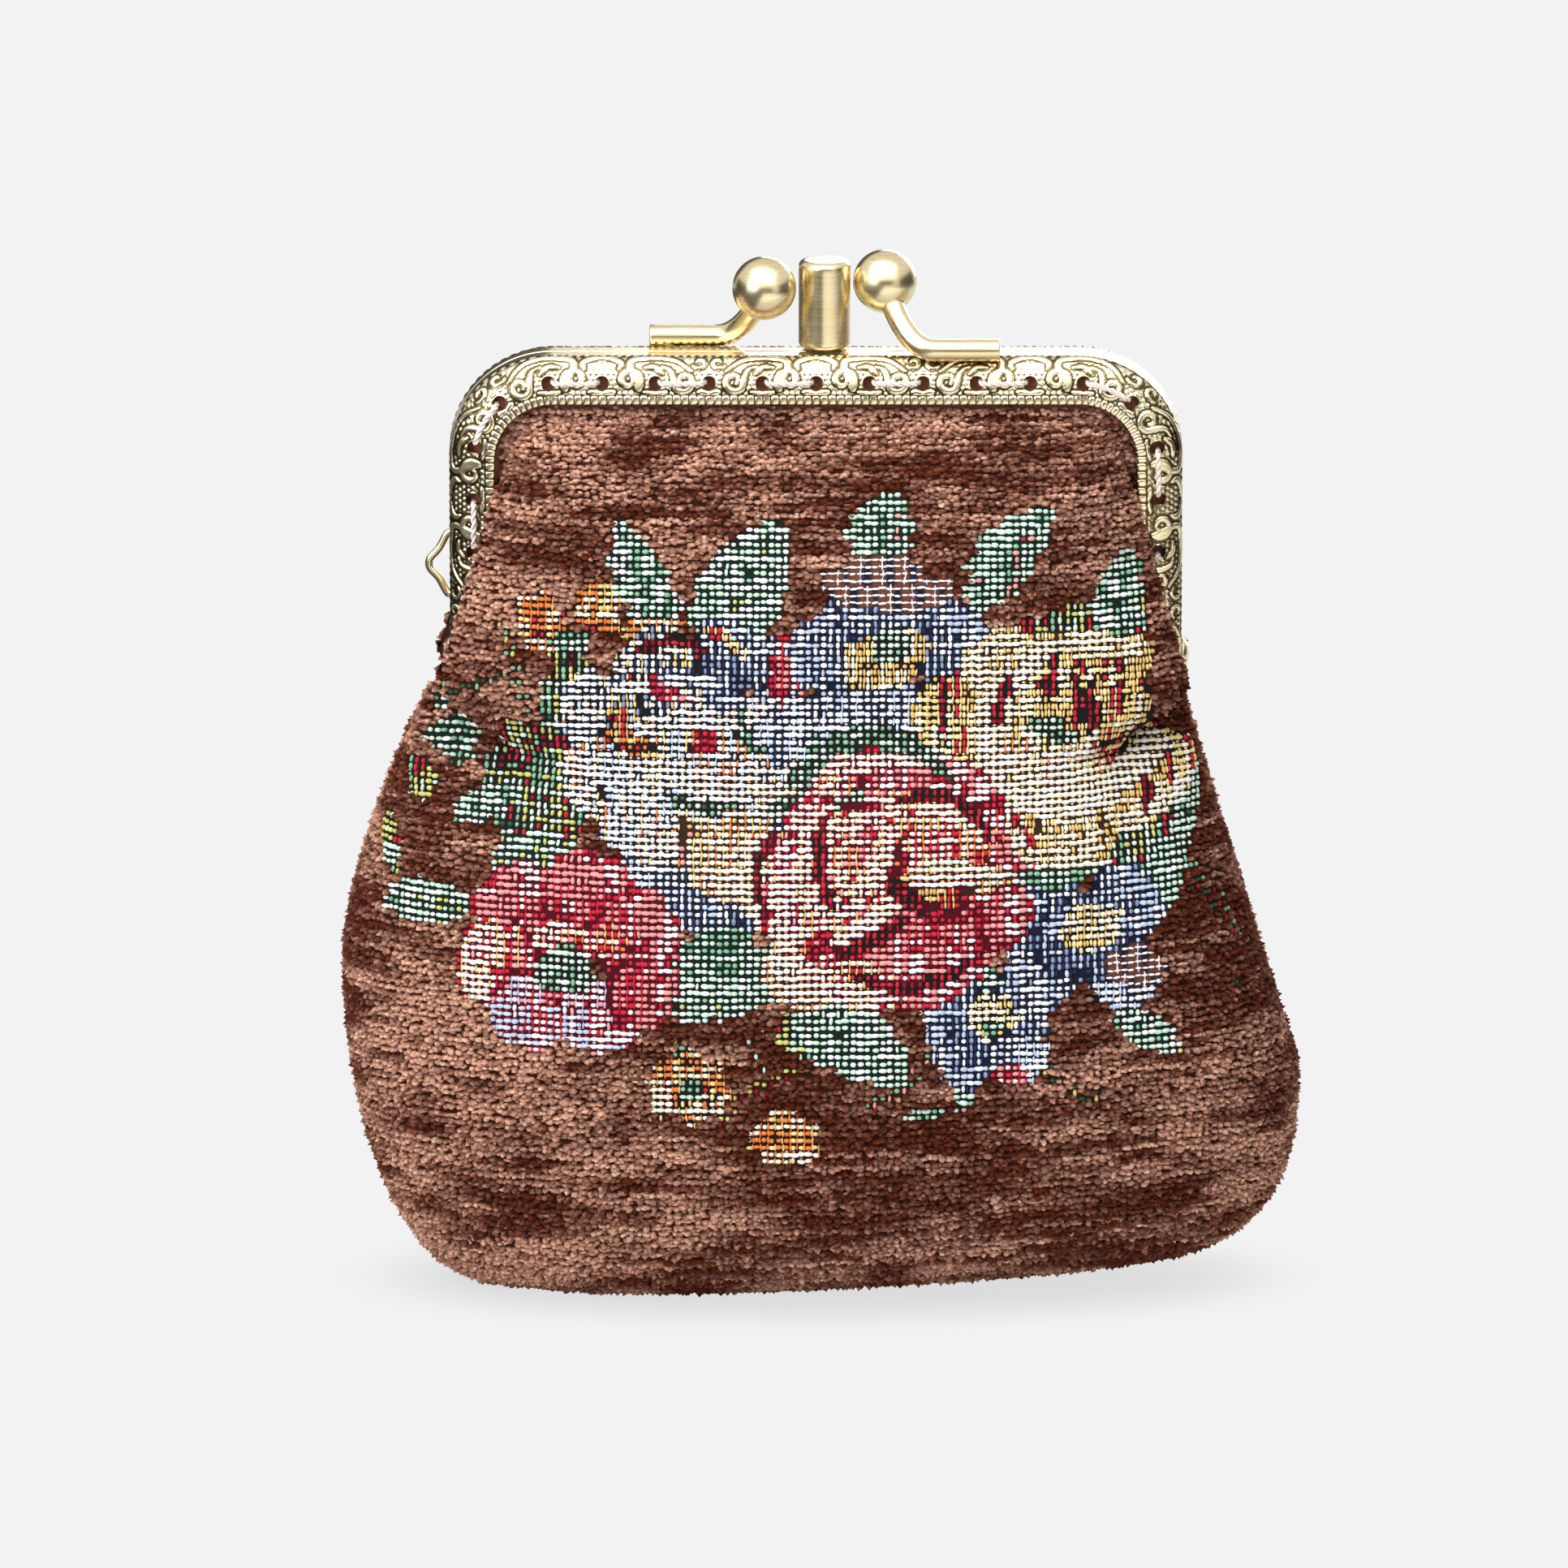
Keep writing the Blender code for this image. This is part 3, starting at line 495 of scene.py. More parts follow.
def outer_profile(samples):
    """The outer skin as (inset, depth), even along its length, with its outward direction."""
    angle = np.linspace(0, math.pi / 2, 400)
    rim = np.linspace(CLOSING_GAP / 2, RIM_DEPTH, 60)[:-1]
    inset = np.concatenate([np.zeros(59), BAND_WIDTH * (1 - np.cos(angle))])
    depth = np.concatenate([rim, RIM_DEPTH + (FRAME_DEPTH - RIM_DEPTH) * np.sin(angle)])
    length = run_length(np.stack([inset, depth], -1))
    at = np.linspace(0, length[-1], samples)
    inset, depth = np.interp(at, length, inset), np.interp(at, length, depth)
    out = unit(np.stack([-np.gradient(depth), np.gradient(inset)], -1))
    return at, inset, depth, out


FACE_LENGTH = outer_profile(500)[0][-1]


def volute(centre, turns, start, inner, outer, tail):
    """A spiral from its eye outwards, its radius growing evenly, that runs on through the tail points."""
    angle = start + np.linspace(0, turns * 2 * math.pi, 70)
    radius = np.linspace(inner, outer, 70)
    spiral = np.stack([centre[0] + radius * np.cos(angle), centre[1] + radius * np.sin(angle)], -1)
    return np.concatenate([spiral, sweep_curve(np.array([spiral[-1], *tail]))]) if len(tail) else spiral


def sweep_curve(points):
    """A smooth curve through points: Catmull-Rom between each two of them."""
    points = np.asarray(points, float)
    padded = np.concatenate([[2 * points[0] - points[1]], points, [2 * points[-1] - points[-2]]])
    t = np.linspace(0, 1, 16)[:, None]
    pieces = []
    for a, b, c, d in zip(padded, padded[1:], padded[2:], padded[3:]):
        pieces.append(b + 0.5 * t * (c - a + t * (2 * a - 5 * b + 4 * c - d + t * (3 * (b - c) + d - a))))
    return np.concatenate(pieces)


# Scroll lines in millimetres along the arch and across the face, with their half widths.
SCROLLS = (
    (volute((3.15, 5.55), 1.05, 0.4, 0.42, 1.45, [(3.3, 3.3), (5.6, 2.6), (8.4, 3.0), (10.4, 4.5)]), 0.36),
    (volute((9.5, 5.7), 1.0, 2.4, 0.38, 1.25, [(8.0, 4.5), (7.0, 3.9)]), 0.32),
    (volute((11.3, 3.35), 0.85, 3.6, 0.30, 0.85, []), 0.24),
    (sweep_curve([(0.0, 2.6), (1.2, 2.7), (2.2, 3.4), (2.0, 4.2)]), 0.34),
    (sweep_curve([(5.0, 4.0), (6.2, 4.0), (7.0, 4.8)]), 0.32),
    (sweep_curve([(4.9, 6.9), (6.2, 7.2), (7.5, 6.9)]), 0.30),
    (sweep_curve([(11.2, 6.9), (12.4, 7.1)]), 0.34),
    (sweep_curve([(0.0, 7.1), (1.5, 6.9)]), 0.30),
)


def scroll_table():
    """Height and colour relief of one repeat: flat-topped bands, dark outlines, a hexagonal stipple."""
    along = np.arange(0, REPEAT + TABLE_STEP, TABLE_STEP)
    across = np.arange(0, FACE_LENGTH + TABLE_STEP, TABLE_STEP)
    s, t = np.meshgrid(along, across, indexing="ij")
    clearance = np.full(s.shape, 9.0)
    for line, half_width in SCROLLS:
        share = np.linspace(0, 1, len(line))
        width = half_width * MM * np.clip(0.45 + 2.2 * np.minimum(share, 1 - share), 0.35, 1.0)
        for (x, y), w in zip(line * MM, width):
            clearance = np.minimum(clearance, np.hypot(s - x, t - y) - w)
    band = smoothstep(-clearance / SCROLL_EDGE) * SCROLL_HEIGHT
    row = np.round(t / DOT_ROW)
    shift = 0.5 * (row % 2)
    column = np.round(s / DOT_PITCH - shift)
    apart = np.hypot(s - (column + shift) * DOT_PITCH, t - row * DOT_ROW)
    dot = DOT_HEIGHT * np.sqrt(np.clip(1 - (apart / DOT_RADIUS) ** 2, 0, 1))
    field = (t > RIM_LENGTH + STIPPLE_FROM_SHOULDER) & (t < FACE_LENGTH - STIPPLE_FROM_EDGE)
    ground = (clearance > OUTLINE_WIDTH) & field
    relief = np.where(clearance < 0, 1.0, np.where(clearance < OUTLINE_WIDTH, 0.0, GROUND_RELIEF))
    relief = np.where(ground & (apart < DOT_RADIUS), DOT_RELIEF, relief)
    return np.where(ground, dot, band), relief


height_table, relief_table = scroll_table()
print("scroll table", height_table.shape, "highest", round(height_table.max() / MM, 2), "mm")

# %% [markdown]
# ## The two halves
#
# Each half is one closed sheet-metal section carried along the arch, fine outside and coarse inside.
# The holes are opened by dropping the faces inside each circle and moving the edge that is left onto
# it, and a short tube then gives each hole its wall. The front half has round ears over the rivets,
# and the back half has inner ears on short arms, as in the CAD model.

# %% Frame halves
TONGUE_PITCH = 0.95 * MM
TONGUE_HEIGHT = 0.15 * MM
TONGUE_FROM_EDGE = 0.58 * MM
TONGUE_REACH = 0.56 * MM
BEAD_HEIGHT = 0.11 * MM
BEAD_FROM_SHOULDER = 0.42 * MM
BEAD_REACH = 0.26 * MM
LEG_SHADE_FROM = STRAIGHT + ARC + 3.0 * MM
LEG_SHADE_FADE = 8.0 * MM
LEG_PAINTED_SHADE = 0.25
INSIDE_RELIEF = 0.25
RIM_RELIEF = 0.75
EAR_RELIEF = 0.6
# half of a tongue's and a bead's share of the pitch, and how far the dark round them reaches
TONGUE_HALF, BEAD_HALF = 0.46, 0.36
TONGUE_DARK, BEAD_DARK = 1.15, 1.3
PLAIN_RIM = 0.5 * MM
RIM_FADE = 0.4 * MM
EDGE_FADE = 0.15 * MM
ALONG_SAMPLES = 1120
OUTER_SAMPLES = 66
INNER_SAMPLES = 9
HOLE_SIDES = 24
EAR_SIDES = 40
EAR_RADIUS = 2.6 * MM
EAR_SOFTNESS = 0.12 * MM
EAR_GAP = 0.3 * MM
ARM_BELOW = 1.5 * MM
ARM_ABOVE = 2.1 * MM


def ornament(along, across):
    """Height and relief of the stamping: scrolls, shoulder beads, and tongues along the inner edge.

    The relief steers the patina, and down the legs it is lowered further as painted shade.
    """
    count = np.floor(along / REPEAT)
    place = along - count * REPEAT
    place = np.where(count % 2 == 0, place, REPEAT - place)
    i = np.clip(place / TABLE_STEP, 0, height_table.shape[0] - 1.001)
    j = np.clip(across / TABLE_STEP, 0, height_table.shape[1] - 1.001)
    low_i, low_j = i.astype(int), j.astype(int)
    scroll, relief = (
        between_four(lambda *at: table[at], low_i, low_j, i - low_i, j - low_j)
        for table in (height_table, relief_table))
    beat = (along / TONGUE_PITCH + 0.5) % 1.0 - 0.5
    tongue_across = (across - (FACE_LENGTH - TONGUE_FROM_EDGE)) / TONGUE_REACH
    tongue = np.sqrt(np.clip(1 - (beat / TONGUE_HALF) ** 4 - tongue_across ** 4, 0, 1))
    bead_across = (across - (RIM_LENGTH + BEAD_FROM_SHOULDER)) / BEAD_REACH
    bead = np.sqrt(np.clip(1 - (beat / BEAD_HALF) ** 2 - bead_across ** 2, 0, 1))
    height = np.maximum(scroll, np.maximum(tongue * TONGUE_HEIGHT, bead * BEAD_HEIGHT))
    lines = (np.abs(tongue_across) < TONGUE_DARK) | (np.abs(bead_across) < BEAD_DARK)
    relief = np.where(lines, np.maximum(tongue, bead), relief)
    # painted shade: the legs get darker brass than the top and corners
    top_share = smoothstep((LEG_SHADE_FROM - np.abs(along)) / LEG_SHADE_FADE)
    return height, relief - LEG_PAINTED_SHADE * (1 - top_share)


def lathe(profile, centre, axis, segments):
    """A turned shell: (radius, height) points spun about an axis through a centre, with flat ends."""
    profile = np.asarray(profile, float)
    axis = unit(np.asarray(axis, float))
    helper = np.array([0.0, 0.0, 1.0]) if abs(axis[2]) < 0.9 else np.array([1.0, 0.0, 0.0])
    first = unit(np.cross(helper, axis))
    second = np.cross(axis, first)
    angle = circle(segments)[:, None]
    ring = np.cos(angle) * first + np.sin(angle) * second
    points = np.asarray(centre) + profile[:, None, :1] * ring + profile[:, None, 1:] * axis
    return points, rod_faces(len(profile), segments, turn=True)


def plate(hand, near, far, radius):
    """A round plate about the hinge axis, with softened edges, at insets near to far."""
    half = (far - near) / 2
    middle = radius * 0.3
    inner = radius - EAR_SOFTNESS
    wall = half - EAR_SOFTNESS
    edge = np.array([(middle, half), (inner, half), (radius, wall)])
    profile = np.concatenate([edge, edge[::-1] * (1, -1)])
    return lathe(profile, (hand * (HALF_WIDTH - near - half), 0.0, HINGE_HEIGHT), (hand, 0, 0), EAR_SIDES)


def arm(hand):
    """A flat bar from the back half's face to its inner ear."""
    near = SHEET + EAR_GAP
    reach = float(face_depth(near + SHEET / 2, SHEET / 2))
    low = np.array([hand * (HALF_WIDTH - near - SHEET), 0.0, HINGE_HEIGHT - ARM_BELOW])
    high = np.array([hand * (HALF_WIDTH - near), reach, HINGE_HEIGHT + ARM_ABOVE])
    square = ((0, 0), (1, 0), (1, 1), (0, 1))
    corners = np.array([(x, y, z) for z in (0, 1) for x, y in square])
    return low + corners * (high - low), rod_faces(2, 4, turn=hand < 0)


def frame_half(name, side):
    """One stamped half: closed section x arch, holes cut out, hole walls, ears."""
    across, inset, depth, out = outer_profile(OUTER_SAMPLES)
    along = np.linspace(-ARCH_HALF, ARCH_HALF, ALONG_SAMPLES)
    height, relief = ornament(along[:, None], across[None, :])
    hole_x, hole_z, _, _ = arch_point(hole_places, HOLE_LINE)
    height = height * (
        smoothstep((across - PLAIN_RIM) / RIM_FADE) * smoothstep((FACE_LENGTH - across) / EDGE_FADE))
    outer_inset = inset[None, :] + out[None, :, 0] * height
    outer_depth = depth[None, :] + out[None, :, 1] * height
    angle = np.linspace(math.pi / 2, 0, INNER_SAMPLES - 1)
    skin = SHEET + (BAND_WIDTH - SHEET) * (1 - np.cos(angle))
    skin_depth = RIM_DEPTH + (FRAME_DEPTH - SHEET - RIM_DEPTH) * np.sin(angle)
    inner = (ALONG_SAMPLES, INNER_SAMPLES)
    inner_inset = np.broadcast_to(np.append(skin, SHEET), inner)
    inner_depth = np.broadcast_to(np.append(skin_depth, CLOSING_GAP / 2), inner)
    all_inset = np.concatenate([outer_inset, inner_inset], 1)
    all_depth = np.concatenate([outer_depth, inner_depth], 1)
    x, z, _, _ = arch_point(along[:, None], all_inset)
    points = np.stack([x, side * all_depth, z], -1).reshape(-1, 3)
    columns = OUTER_SAMPLES + INNER_SAMPLES
    relief = np.where(across < RIM_LENGTH, RIM_RELIEF, relief)
    raised = np.concatenate([relief, np.full(inner, INSIDE_RELIEF)], 1).ravel()

    quads, *caps = rod_faces(ALONG_SAMPLES, columns, turn=side == FRONT)
    gap = np.hypot(points[:, None, 0] - hole_x, points[:, None, 2] - hole_z)
    nearest = gap.argmin(1)
    gap = gap.min(1)
    inside = gap < HOLE_RADIUS
    keep = ~inside[quads].all(1)
    if side == BACK:
        ear_gap = np.hypot(points[:, 1], points[:, 2] - HINGE_HEIGHT)
        under_ear = (ear_gap < EAR_RADIUS + EAR_GAP) & (all_inset.ravel() < SHEET + EAR_GAP / 2)
        keep &= ~under_ear[quads].all(1)
    quads = quads[keep]
    push = HOLE_RADIUS / np.maximum(gap, 1e-9)
    centre = np.stack([hole_x[nearest], hole_z[nearest]], -1)
    on_circle = centre + (points[:, [0, 2]] - centre) * push[:, None]
    points[inside, 0], points[inside, 2] = on_circle[inside, 0], on_circle[inside, 1]
    shells = [(points, [quads] + caps)]

    turn = circle(HOLE_SIDES)
    wall_x = hole_x[:, None] + HOLE_RADIUS * np.cos(turn)
    wall_z = hole_z[:, None] + HOLE_RADIUS * np.sin(turn)
    under = arch_inset(wall_x, wall_z)
    levels = np.stack([face_depth(under, 0.0), face_depth(under, SHEET)], 1)
    walls = np.stack(np.broadcast_arrays(wall_x[:, None], side * levels, wall_z[:, None]), -1)
    ring = turned_over(grid_faces(2, HOLE_SIDES, closed=True), side == BACK)
    shells += [(wall, [ring]) for wall in walls]
    for hand in HANDS.values():
        if side == FRONT:
            shells.append(plate(hand, 0.0, SHEET, EAR_RADIUS))
        else:
            shells.append(plate(hand, SHEET + EAR_GAP, 2 * SHEET + EAR_GAP, EAR_RADIUS))
            shells.append(arm(hand))
    all_points, faces = join(shells)
    used = np.zeros(len(all_points), bool)
    for face in faces:
        used[face.ravel()] = True
    number = np.cumsum(used) - 1
    faces = [number[face] for face in faces]
    relief = np.full(len(all_points), EAR_RELIEF)
    relief[:len(raised)] = raised
    return make_piece(name, all_points[used], faces, antique_brass, {"relief": relief[used]})


for label, side in SIDES.items():
    dress(frame_half(label + "_stamped_half", side), label + "_half", label + "_frame")

# %% [markdown]
# ## Clasp, rivets and chain loop
#
# The balls, post and rivets are turned on a lathe, so each is a profile spun about an axis. The stems
# and the loop are bent rod, so each is a circle carried along a path. The formulas for their places
# are the CAD model's.

# %% Clasp and hardware
CLASP_X = 1.0 * MM
BALL_RADIUS = 3.7 * MM
BALL_HEIGHT = 7.9 * MM
BALL_FORWARD = 1.9 * MM
POST_RADIUS = 3.0 * MM
POST_LENGTH = 10.4 * MM
POST_FILLET = 0.75 * MM
POST_Y = 1.3 * MM
SEAT_GAP = 0.2 * MM
STEM_RADIUS = 1.3 * MM
STEM_REACHES = (20.3 * MM, 12.8 * MM, 9.2 * MM)
STEM_SEAT_DEPTH = 3.0 * MM
STEM_SIDES = 36
STEM_ENDS_IN_BALL = 0.86
STEM_SIDEWAYS = (0.0, 1.0, 0.12)
CHAMFER_STEP = 0.12
CHAMFER_RADII = (0.88, 0.98, 1.0)
BALL_POST_GAP = 0.3 * MM
BALL_NECK = 0.25 * MM
TURNED_SIDES = 72
RIVET_HEAD_RADIUS = 1.9 * MM
RIVET_HEAD_HEIGHT = 0.8 * MM
RIVET_SHANK_RADIUS = 0.9 * MM
RIVET_TAIL_RADIUS = 1.5 * MM
RIVET_TAIL_HEIGHT = 0.6 * MM
RIVET_GAP = 0.1 * MM
LOOP_WIRE_RADIUS = 0.45 * MM
LOOP_WIRE_SIDES = 14
LOOP_HEIGHT = 85.5 * MM
LOOP_SPAN = 7.2 * MM
LOOP_REACH = 2.6 * MM
LOOP_LET_IN = 0.1 * MM
LOOP_SHOULDER = 0.5 * MM
LOOP_POINT = 0.7 * MM


def tube(path, radius, sides, sideways):
    """A round rod: circles of a radius across each point of a path, with flat ends.

    `sideways` is a direction that is never along the path; the circles are squared to it.
    """
    path = np.asarray(path, float)
    ahead = unit(np.gradient(path, axis=0))
    first = unit(np.cross(ahead, np.broadcast_to(sideways, path.shape)))
    second = np.cross(ahead, first)
    angle = circle(sides)[:, None]
    radius = np.broadcast_to(np.asarray(radius, float), (len(path),))
    ring = first[:, None] * np.cos(angle) + second[:, None] * np.sin(angle)
    return path[:, None] + radius[:, None, None] * ring, rod_faces(len(path), sides)


def brass_piece(name, shell, material, relief):
    """A piece of brass hardware; its relief is one value, or one for each ring or side."""
    points, faces = shell
    return make_piece(name, points, faces, material, {"relief": np.broadcast_to(relief, points.shape[:2])})


def ball_place(side):
    """The front half's ball is on the right and behind the back half's, which is on the left."""
    reach = BALL_RADIUS + POST_RADIUS + BALL_POST_GAP
    return np.array([CLASP_X - side * reach, -side * BALL_FORWARD, RIM_HEIGHT + BALL_HEIGHT])


def stem_path(side):
    """A run on the shoulder, then a quadratic curve up into the ball, evenly spaced."""
    angle = math.asin((STEM_SEAT_DEPTH - RIM_DEPTH) / (FRAME_DEPTH - RIM_DEPTH))
    up = (FRAME_DEPTH - RIM_DEPTH) * math.cos(angle)
    out = BAND_WIDTH * math.sin(angle)
    stand_off = (STEM_RADIUS + SEAT_GAP) / math.hypot(up, out)
    height = RIM_HEIGHT - BAND_WIDTH * (1 - math.cos(angle)) + up * stand_off
    depth = side * (STEM_SEAT_DEPTH + out * stand_off)
    start, bend, corner = (np.array([CLASP_X - side * reach, depth, height]) for reach in STEM_REACHES)
    t = np.linspace(0, STEM_ENDS_IN_BALL, 40)[:, None]
    curve = bend * (1 - t) ** 2 + corner * 2 * t * (1 - t) + ball_place(side) * t ** 2
    run = mix(start, bend, np.linspace(0, 1, 16)[:-1, None])
    return np.concatenate([run, curve])


def stem(name, side):
    """The rod, its outer end sawn square with a fine chamfer."""
    path = stem_path(side)
    cut = path[0] + (path[1] - path[0]) * CHAMFER_STEP * np.arange(1, 3)[:, None]
    path = np.concatenate([path[:1], cut, path[1:]])
    radius = np.full(len(path), STEM_RADIUS)
    radius[:3] = STEM_RADIUS * np.array(CHAMFER_RADII)
    # painted shade: the half of the rod's sides towards the back is darker
    tone_and_shade = 0.75 - 0.35 * (np.arange(STEM_SIDES) > STEM_SIDES / 2)
    return brass_piece(name, tube(path, radius, STEM_SIDES, STEM_SIDEWAYS), polished_brass, tone_and_shade)


def ball(name, side):
    """A ball turned about the stem's direction, with a small neck where the stem is brazed in."""
    centre = ball_place(side)
    towards = unit(centre - stem_path(side)[-6])
    angle = np.linspace(0.35, math.pi - 0.02, 56)
    profile = np.stack([BALL_RADIUS * np.sin(angle), -BALL_RADIUS * np.cos(angle)], -1)
    neck = [(STEM_RADIUS * 0.9, -BALL_RADIUS - BALL_NECK), (STEM_RADIUS * 1.03, -BALL_RADIUS * 0.96)]
    shell = lathe(np.concatenate([neck, profile])[::-1], centre, towards, TURNED_SIDES)
    return brass_piece(name, shell, polished_brass, 0.8)


def post():
    """A round post with both edges rolled over, seated on the back half's rim."""
    angle = np.linspace(0, math.pi / 2, 10)
    curve, drop = POST_FILLET * (1 - np.sin(angle)), POST_FILLET * (1 - np.cos(angle))
    top = np.stack([POST_RADIUS - curve, POST_LENGTH - drop], -1)
    wall = np.stack([np.full(20, POST_RADIUS), np.linspace(POST_LENGTH - POST_FILLET, POST_FILLET, 20)], -1)
    foot = np.stack([POST_RADIUS - drop, curve], -1)
    crown = [(0.4 * MM, POST_LENGTH + 0.03 * MM), (1.2 * MM, POST_LENGTH + 0.02 * MM)]
    profile = np.concatenate([crown, top, wall[1:-1], foot, [(0.4 * MM, 0.0)]])
    shell = lathe(profile, (CLASP_X, POST_Y, RIM_HEIGHT + SEAT_GAP), (0, 0, 1), TURNED_SIDES)
    # painted shade: the rolled foot where the post sits on the rim is darker
    tone_and_shade = 0.85 - 0.45 * (profile[:, 1:] < POST_FILLET)
    return brass_piece("post_turned", shell, polished_brass, tone_and_shade)


def rivet(name, hand):
    """A domed head outside, a shank through both ears and an upset tail inside."""
    angle = np.linspace(0.08, math.pi / 2, 12)
    tail = -(2 * SHEET + EAR_GAP + RIVET_GAP)
    end = tail - RIVET_TAIL_HEIGHT
    head = np.stack([RIVET_HEAD_RADIUS * np.sin(angle), RIVET_GAP + RIVET_HEAD_HEIGHT * np.cos(angle)], -1)
    shank = [(RIVET_SHANK_RADIUS, RIVET_GAP), (RIVET_SHANK_RADIUS, tail)]
    upset = [(RIVET_TAIL_RADIUS - 0.05 * MM, tail), (RIVET_TAIL_RADIUS, tail - 0.1 * MM),
             (RIVET_TAIL_RADIUS - 0.2 * MM, end), (0.3 * MM, end)]
    profile = np.concatenate([head, [(RIVET_HEAD_RADIUS - 0.05 * MM, RIVET_GAP)], shank, upset])
    shell = lathe(profile, (hand * HALF_WIDTH, 0.0, HINGE_HEIGHT), (hand, 0, 0), EAR_SIDES)
    return brass_piece(name, shell, antique_brass, 0.7)


def chain_loop():
    """A V of wire with a rounded point, its ends let into the back half's left side."""
    end = LOOP_SPAN / 2
    half = np.array([(0.0, end), (LOOP_SHOULDER, end * 0.97),
                     (LOOP_REACH * 0.55, end * 0.5), (LOOP_REACH * 0.92, LOOP_POINT)])
    line = sweep_curve(np.concatenate([half, [(LOOP_REACH, 0.0)], half[::-1] * (1, -1)]))
    line = line[np.append(True, np.diff(run_length(line)) > 1e-7)]
    depth = (CLOSING_GAP / 2 + RIM_DEPTH) / 2
    out = HALF_WIDTH - LOOP_LET_IN + line[:, 0]
    path = np.stack([-out, np.full(len(line), depth), LOOP_HEIGHT + line[:, 1]], -1)
    shell = tube(path, LOOP_WIRE_RADIUS, LOOP_WIRE_SIDES, (0.0, 1.0, 0.0))
    return brass_piece("loop_wire", shell, antique_brass, 0.75)


for label, side in SIDES.items():
    dress(stem(label + "_stem_rod", side), label + "_half", label + "_clasp_stem")
    dress(ball(label + "_ball_turned", side), label + "_half", label + "_clasp_ball")
dress(post(), "back_half", "clasp_post")
for label, hand in HANDS.items():
    dress(rivet(label + "_rivet_turned", hand), "back_half", label + "_hinge_rivet")
dress(chain_loop(), "back_half", "chain_loop")

# %% [markdown]
# ## Sewing thread
#
# An off-white running stitch goes over the face from every second hole to the next and comes back
# inside. Two plies are twisted round the route, each a thin tube, so that the thread catches light as
# a twist and not as a wire.

# %% Stitching
PLY_RADIUS = 0.19 * MM
PLY_REACH = 0.17 * MM
PLY_TWIST = 1.9 * MM
THREAD_BEND = 0.45 * MM
EDGE_SHIFT = 0.48 * MM
IN_HOLE = 0.12 * MM
OVER_FACE = 0.34 * MM
UNDER_LINING = 1.42 * MM
THREAD_STEP = 0.16 * MM
PLY_SIDES = 7
LINING_INSET = 1.7 * MM
FACE_CLEARANCE = 0.4 * MM
THREAD_COLOUR = linear(236, 224, 218)


def stitching(name, side):
    """Route in (along, depth): inside, out at one hole, over the face, in at the next; then two plies."""
    outside = float(face_depth(HOLE_LINE, 0.0)) + OVER_FACE
    inside = float(face_depth(HOLE_LINE, SHEET)) - FACE_CLEARANCE - LINING_INSET - UNDER_LINING
    knots, levels = [-2 * THREAD_BEND + hole_places[0]], [inside]
    for number, place in enumerate(hole_places):
        here, there = (inside, outside) if number % 2 == 0 else (outside, inside)
        place = place + math.copysign(EDGE_SHIFT, there - here)
        turn = math.copysign(THREAD_BEND, there - here)
        knots += [place - THREAD_BEND, place - IN_HOLE, place + IN_HOLE, place + THREAD_BEND]
        levels += [here, here + turn, there - turn, there]
    knots.append(hole_places[-1] + 2 * THREAD_BEND)
    levels.append(outside if len(hole_places) % 2 else inside)
    corner = np.stack([knots, levels], -1)
    length = run_length(corner)
    even = np.linspace(0, length[-1], int(length[-1] / THREAD_STEP))
    route = np.stack([np.interp(even, length, corner[:, k]) for k in (0, 1)], -1)
    kernel = np.hanning(7)[1:-1]
    padded = np.pad(route, ((2, 2), (0, 0)), "edge")
    route = np.stack([np.convolve(padded[:, k], kernel / kernel.sum(), "valid") for k in (0, 1)], -1)
    x, z, in_x, in_z = arch_point(route[:, 0], HOLE_LINE)
    centre = np.stack([x, side * route[:, 1], z], -1)
    inward = np.stack([in_x, np.zeros_like(x), in_z], -1)
    across = np.cross(unit(np.gradient(centre, axis=0)), inward)
    turn = 2 * math.pi * even / PLY_TWIST
    shells = []
    for phase in (0.0, math.pi):
        swing = np.cos(turn + phase)[:, None] * inward + np.sin(turn + phase)[:, None] * across
        shells.append(tube(centre + PLY_REACH * swing, PLY_RADIUS, PLY_SIDES, inward))
    points, faces = join(shells)
    tint = np.tile(THREAD_COLOUR, (len(points), 1))
    return make_piece(name, points, faces, sewing_thread, colours={"tint": tint})


for label, side in SIDES.items():
    dress(stitching(label + "_running_stitch", side), label + "_half", label + "_stitching")

# %% [markdown]
# ## The cloth's form
#
# Each side of the purse is one cut of cloth, sewn to the other at the sides and under the base and
# gathered into the frame's channel. A drape simulation would lose the fine match with the sewing
# holes, so the sheet is a formula of two numbers: how far across the cut and how high up. It follows
# the CAD solids, with soft puckers under the frame and a fold at the right hip added.

# %% Cloth surface
GROUND_INSET = 0.5 * MM
NECK_TOP = LEG_END - 1.1 * MM
NECK_HEIGHT = NECK_TOP - 3.0 * MM
NECK_BLEND = 20.0 * MM
CLOTH_EDGE_INSET = 1.2 * MM
HINGE_CLOTH_EDGE = 2.5 * MM
PINCH_DEPTH = 2.7 * MM
BULGE_DEPTH = 11.0 * MM
BULGE_LENGTH = 8.0 * MM
BULGE_START = 2.0 * MM
BASE_DEPTH = 8.5 * MM
BELLY_DEPTH = 22.0 * MM
BELLY_DEPTH_HEIGHT = 34.0 * MM
DEPTH_POWER = 2.4
SHOULDER_DEPTH = 16.0 * MM
SECTION_POWER = 2.3
NECK_POWER = 14.0
SEAM_GAP = 0.02 * MM
SEAM_END_INSET = 3.0 * MM
CLOTH_TOP = RIM_HEIGHT - CLOTH_EDGE_INSET
ROW_SAMPLES = 241
# belly half width, its height, fullness above it, roundness below it, base and neck half widths
LEFT_SIDE = (55.3 * MM, 39.0 * MM, 1.55, 2.0, 39.0 * MM, 46.0 * MM)
RIGHT_SIDE = (56.5 * MM, 25.7 * MM, 1.0, 3.0, 34.0 * MM, 43.3 * MM)
# how far the base is lifted at the right, between which places across, and the height where that ends
RIGHT_LIFT = (2.6 * MM, -30.0 * MM, 48.0 * MM, 35.0 * MM)
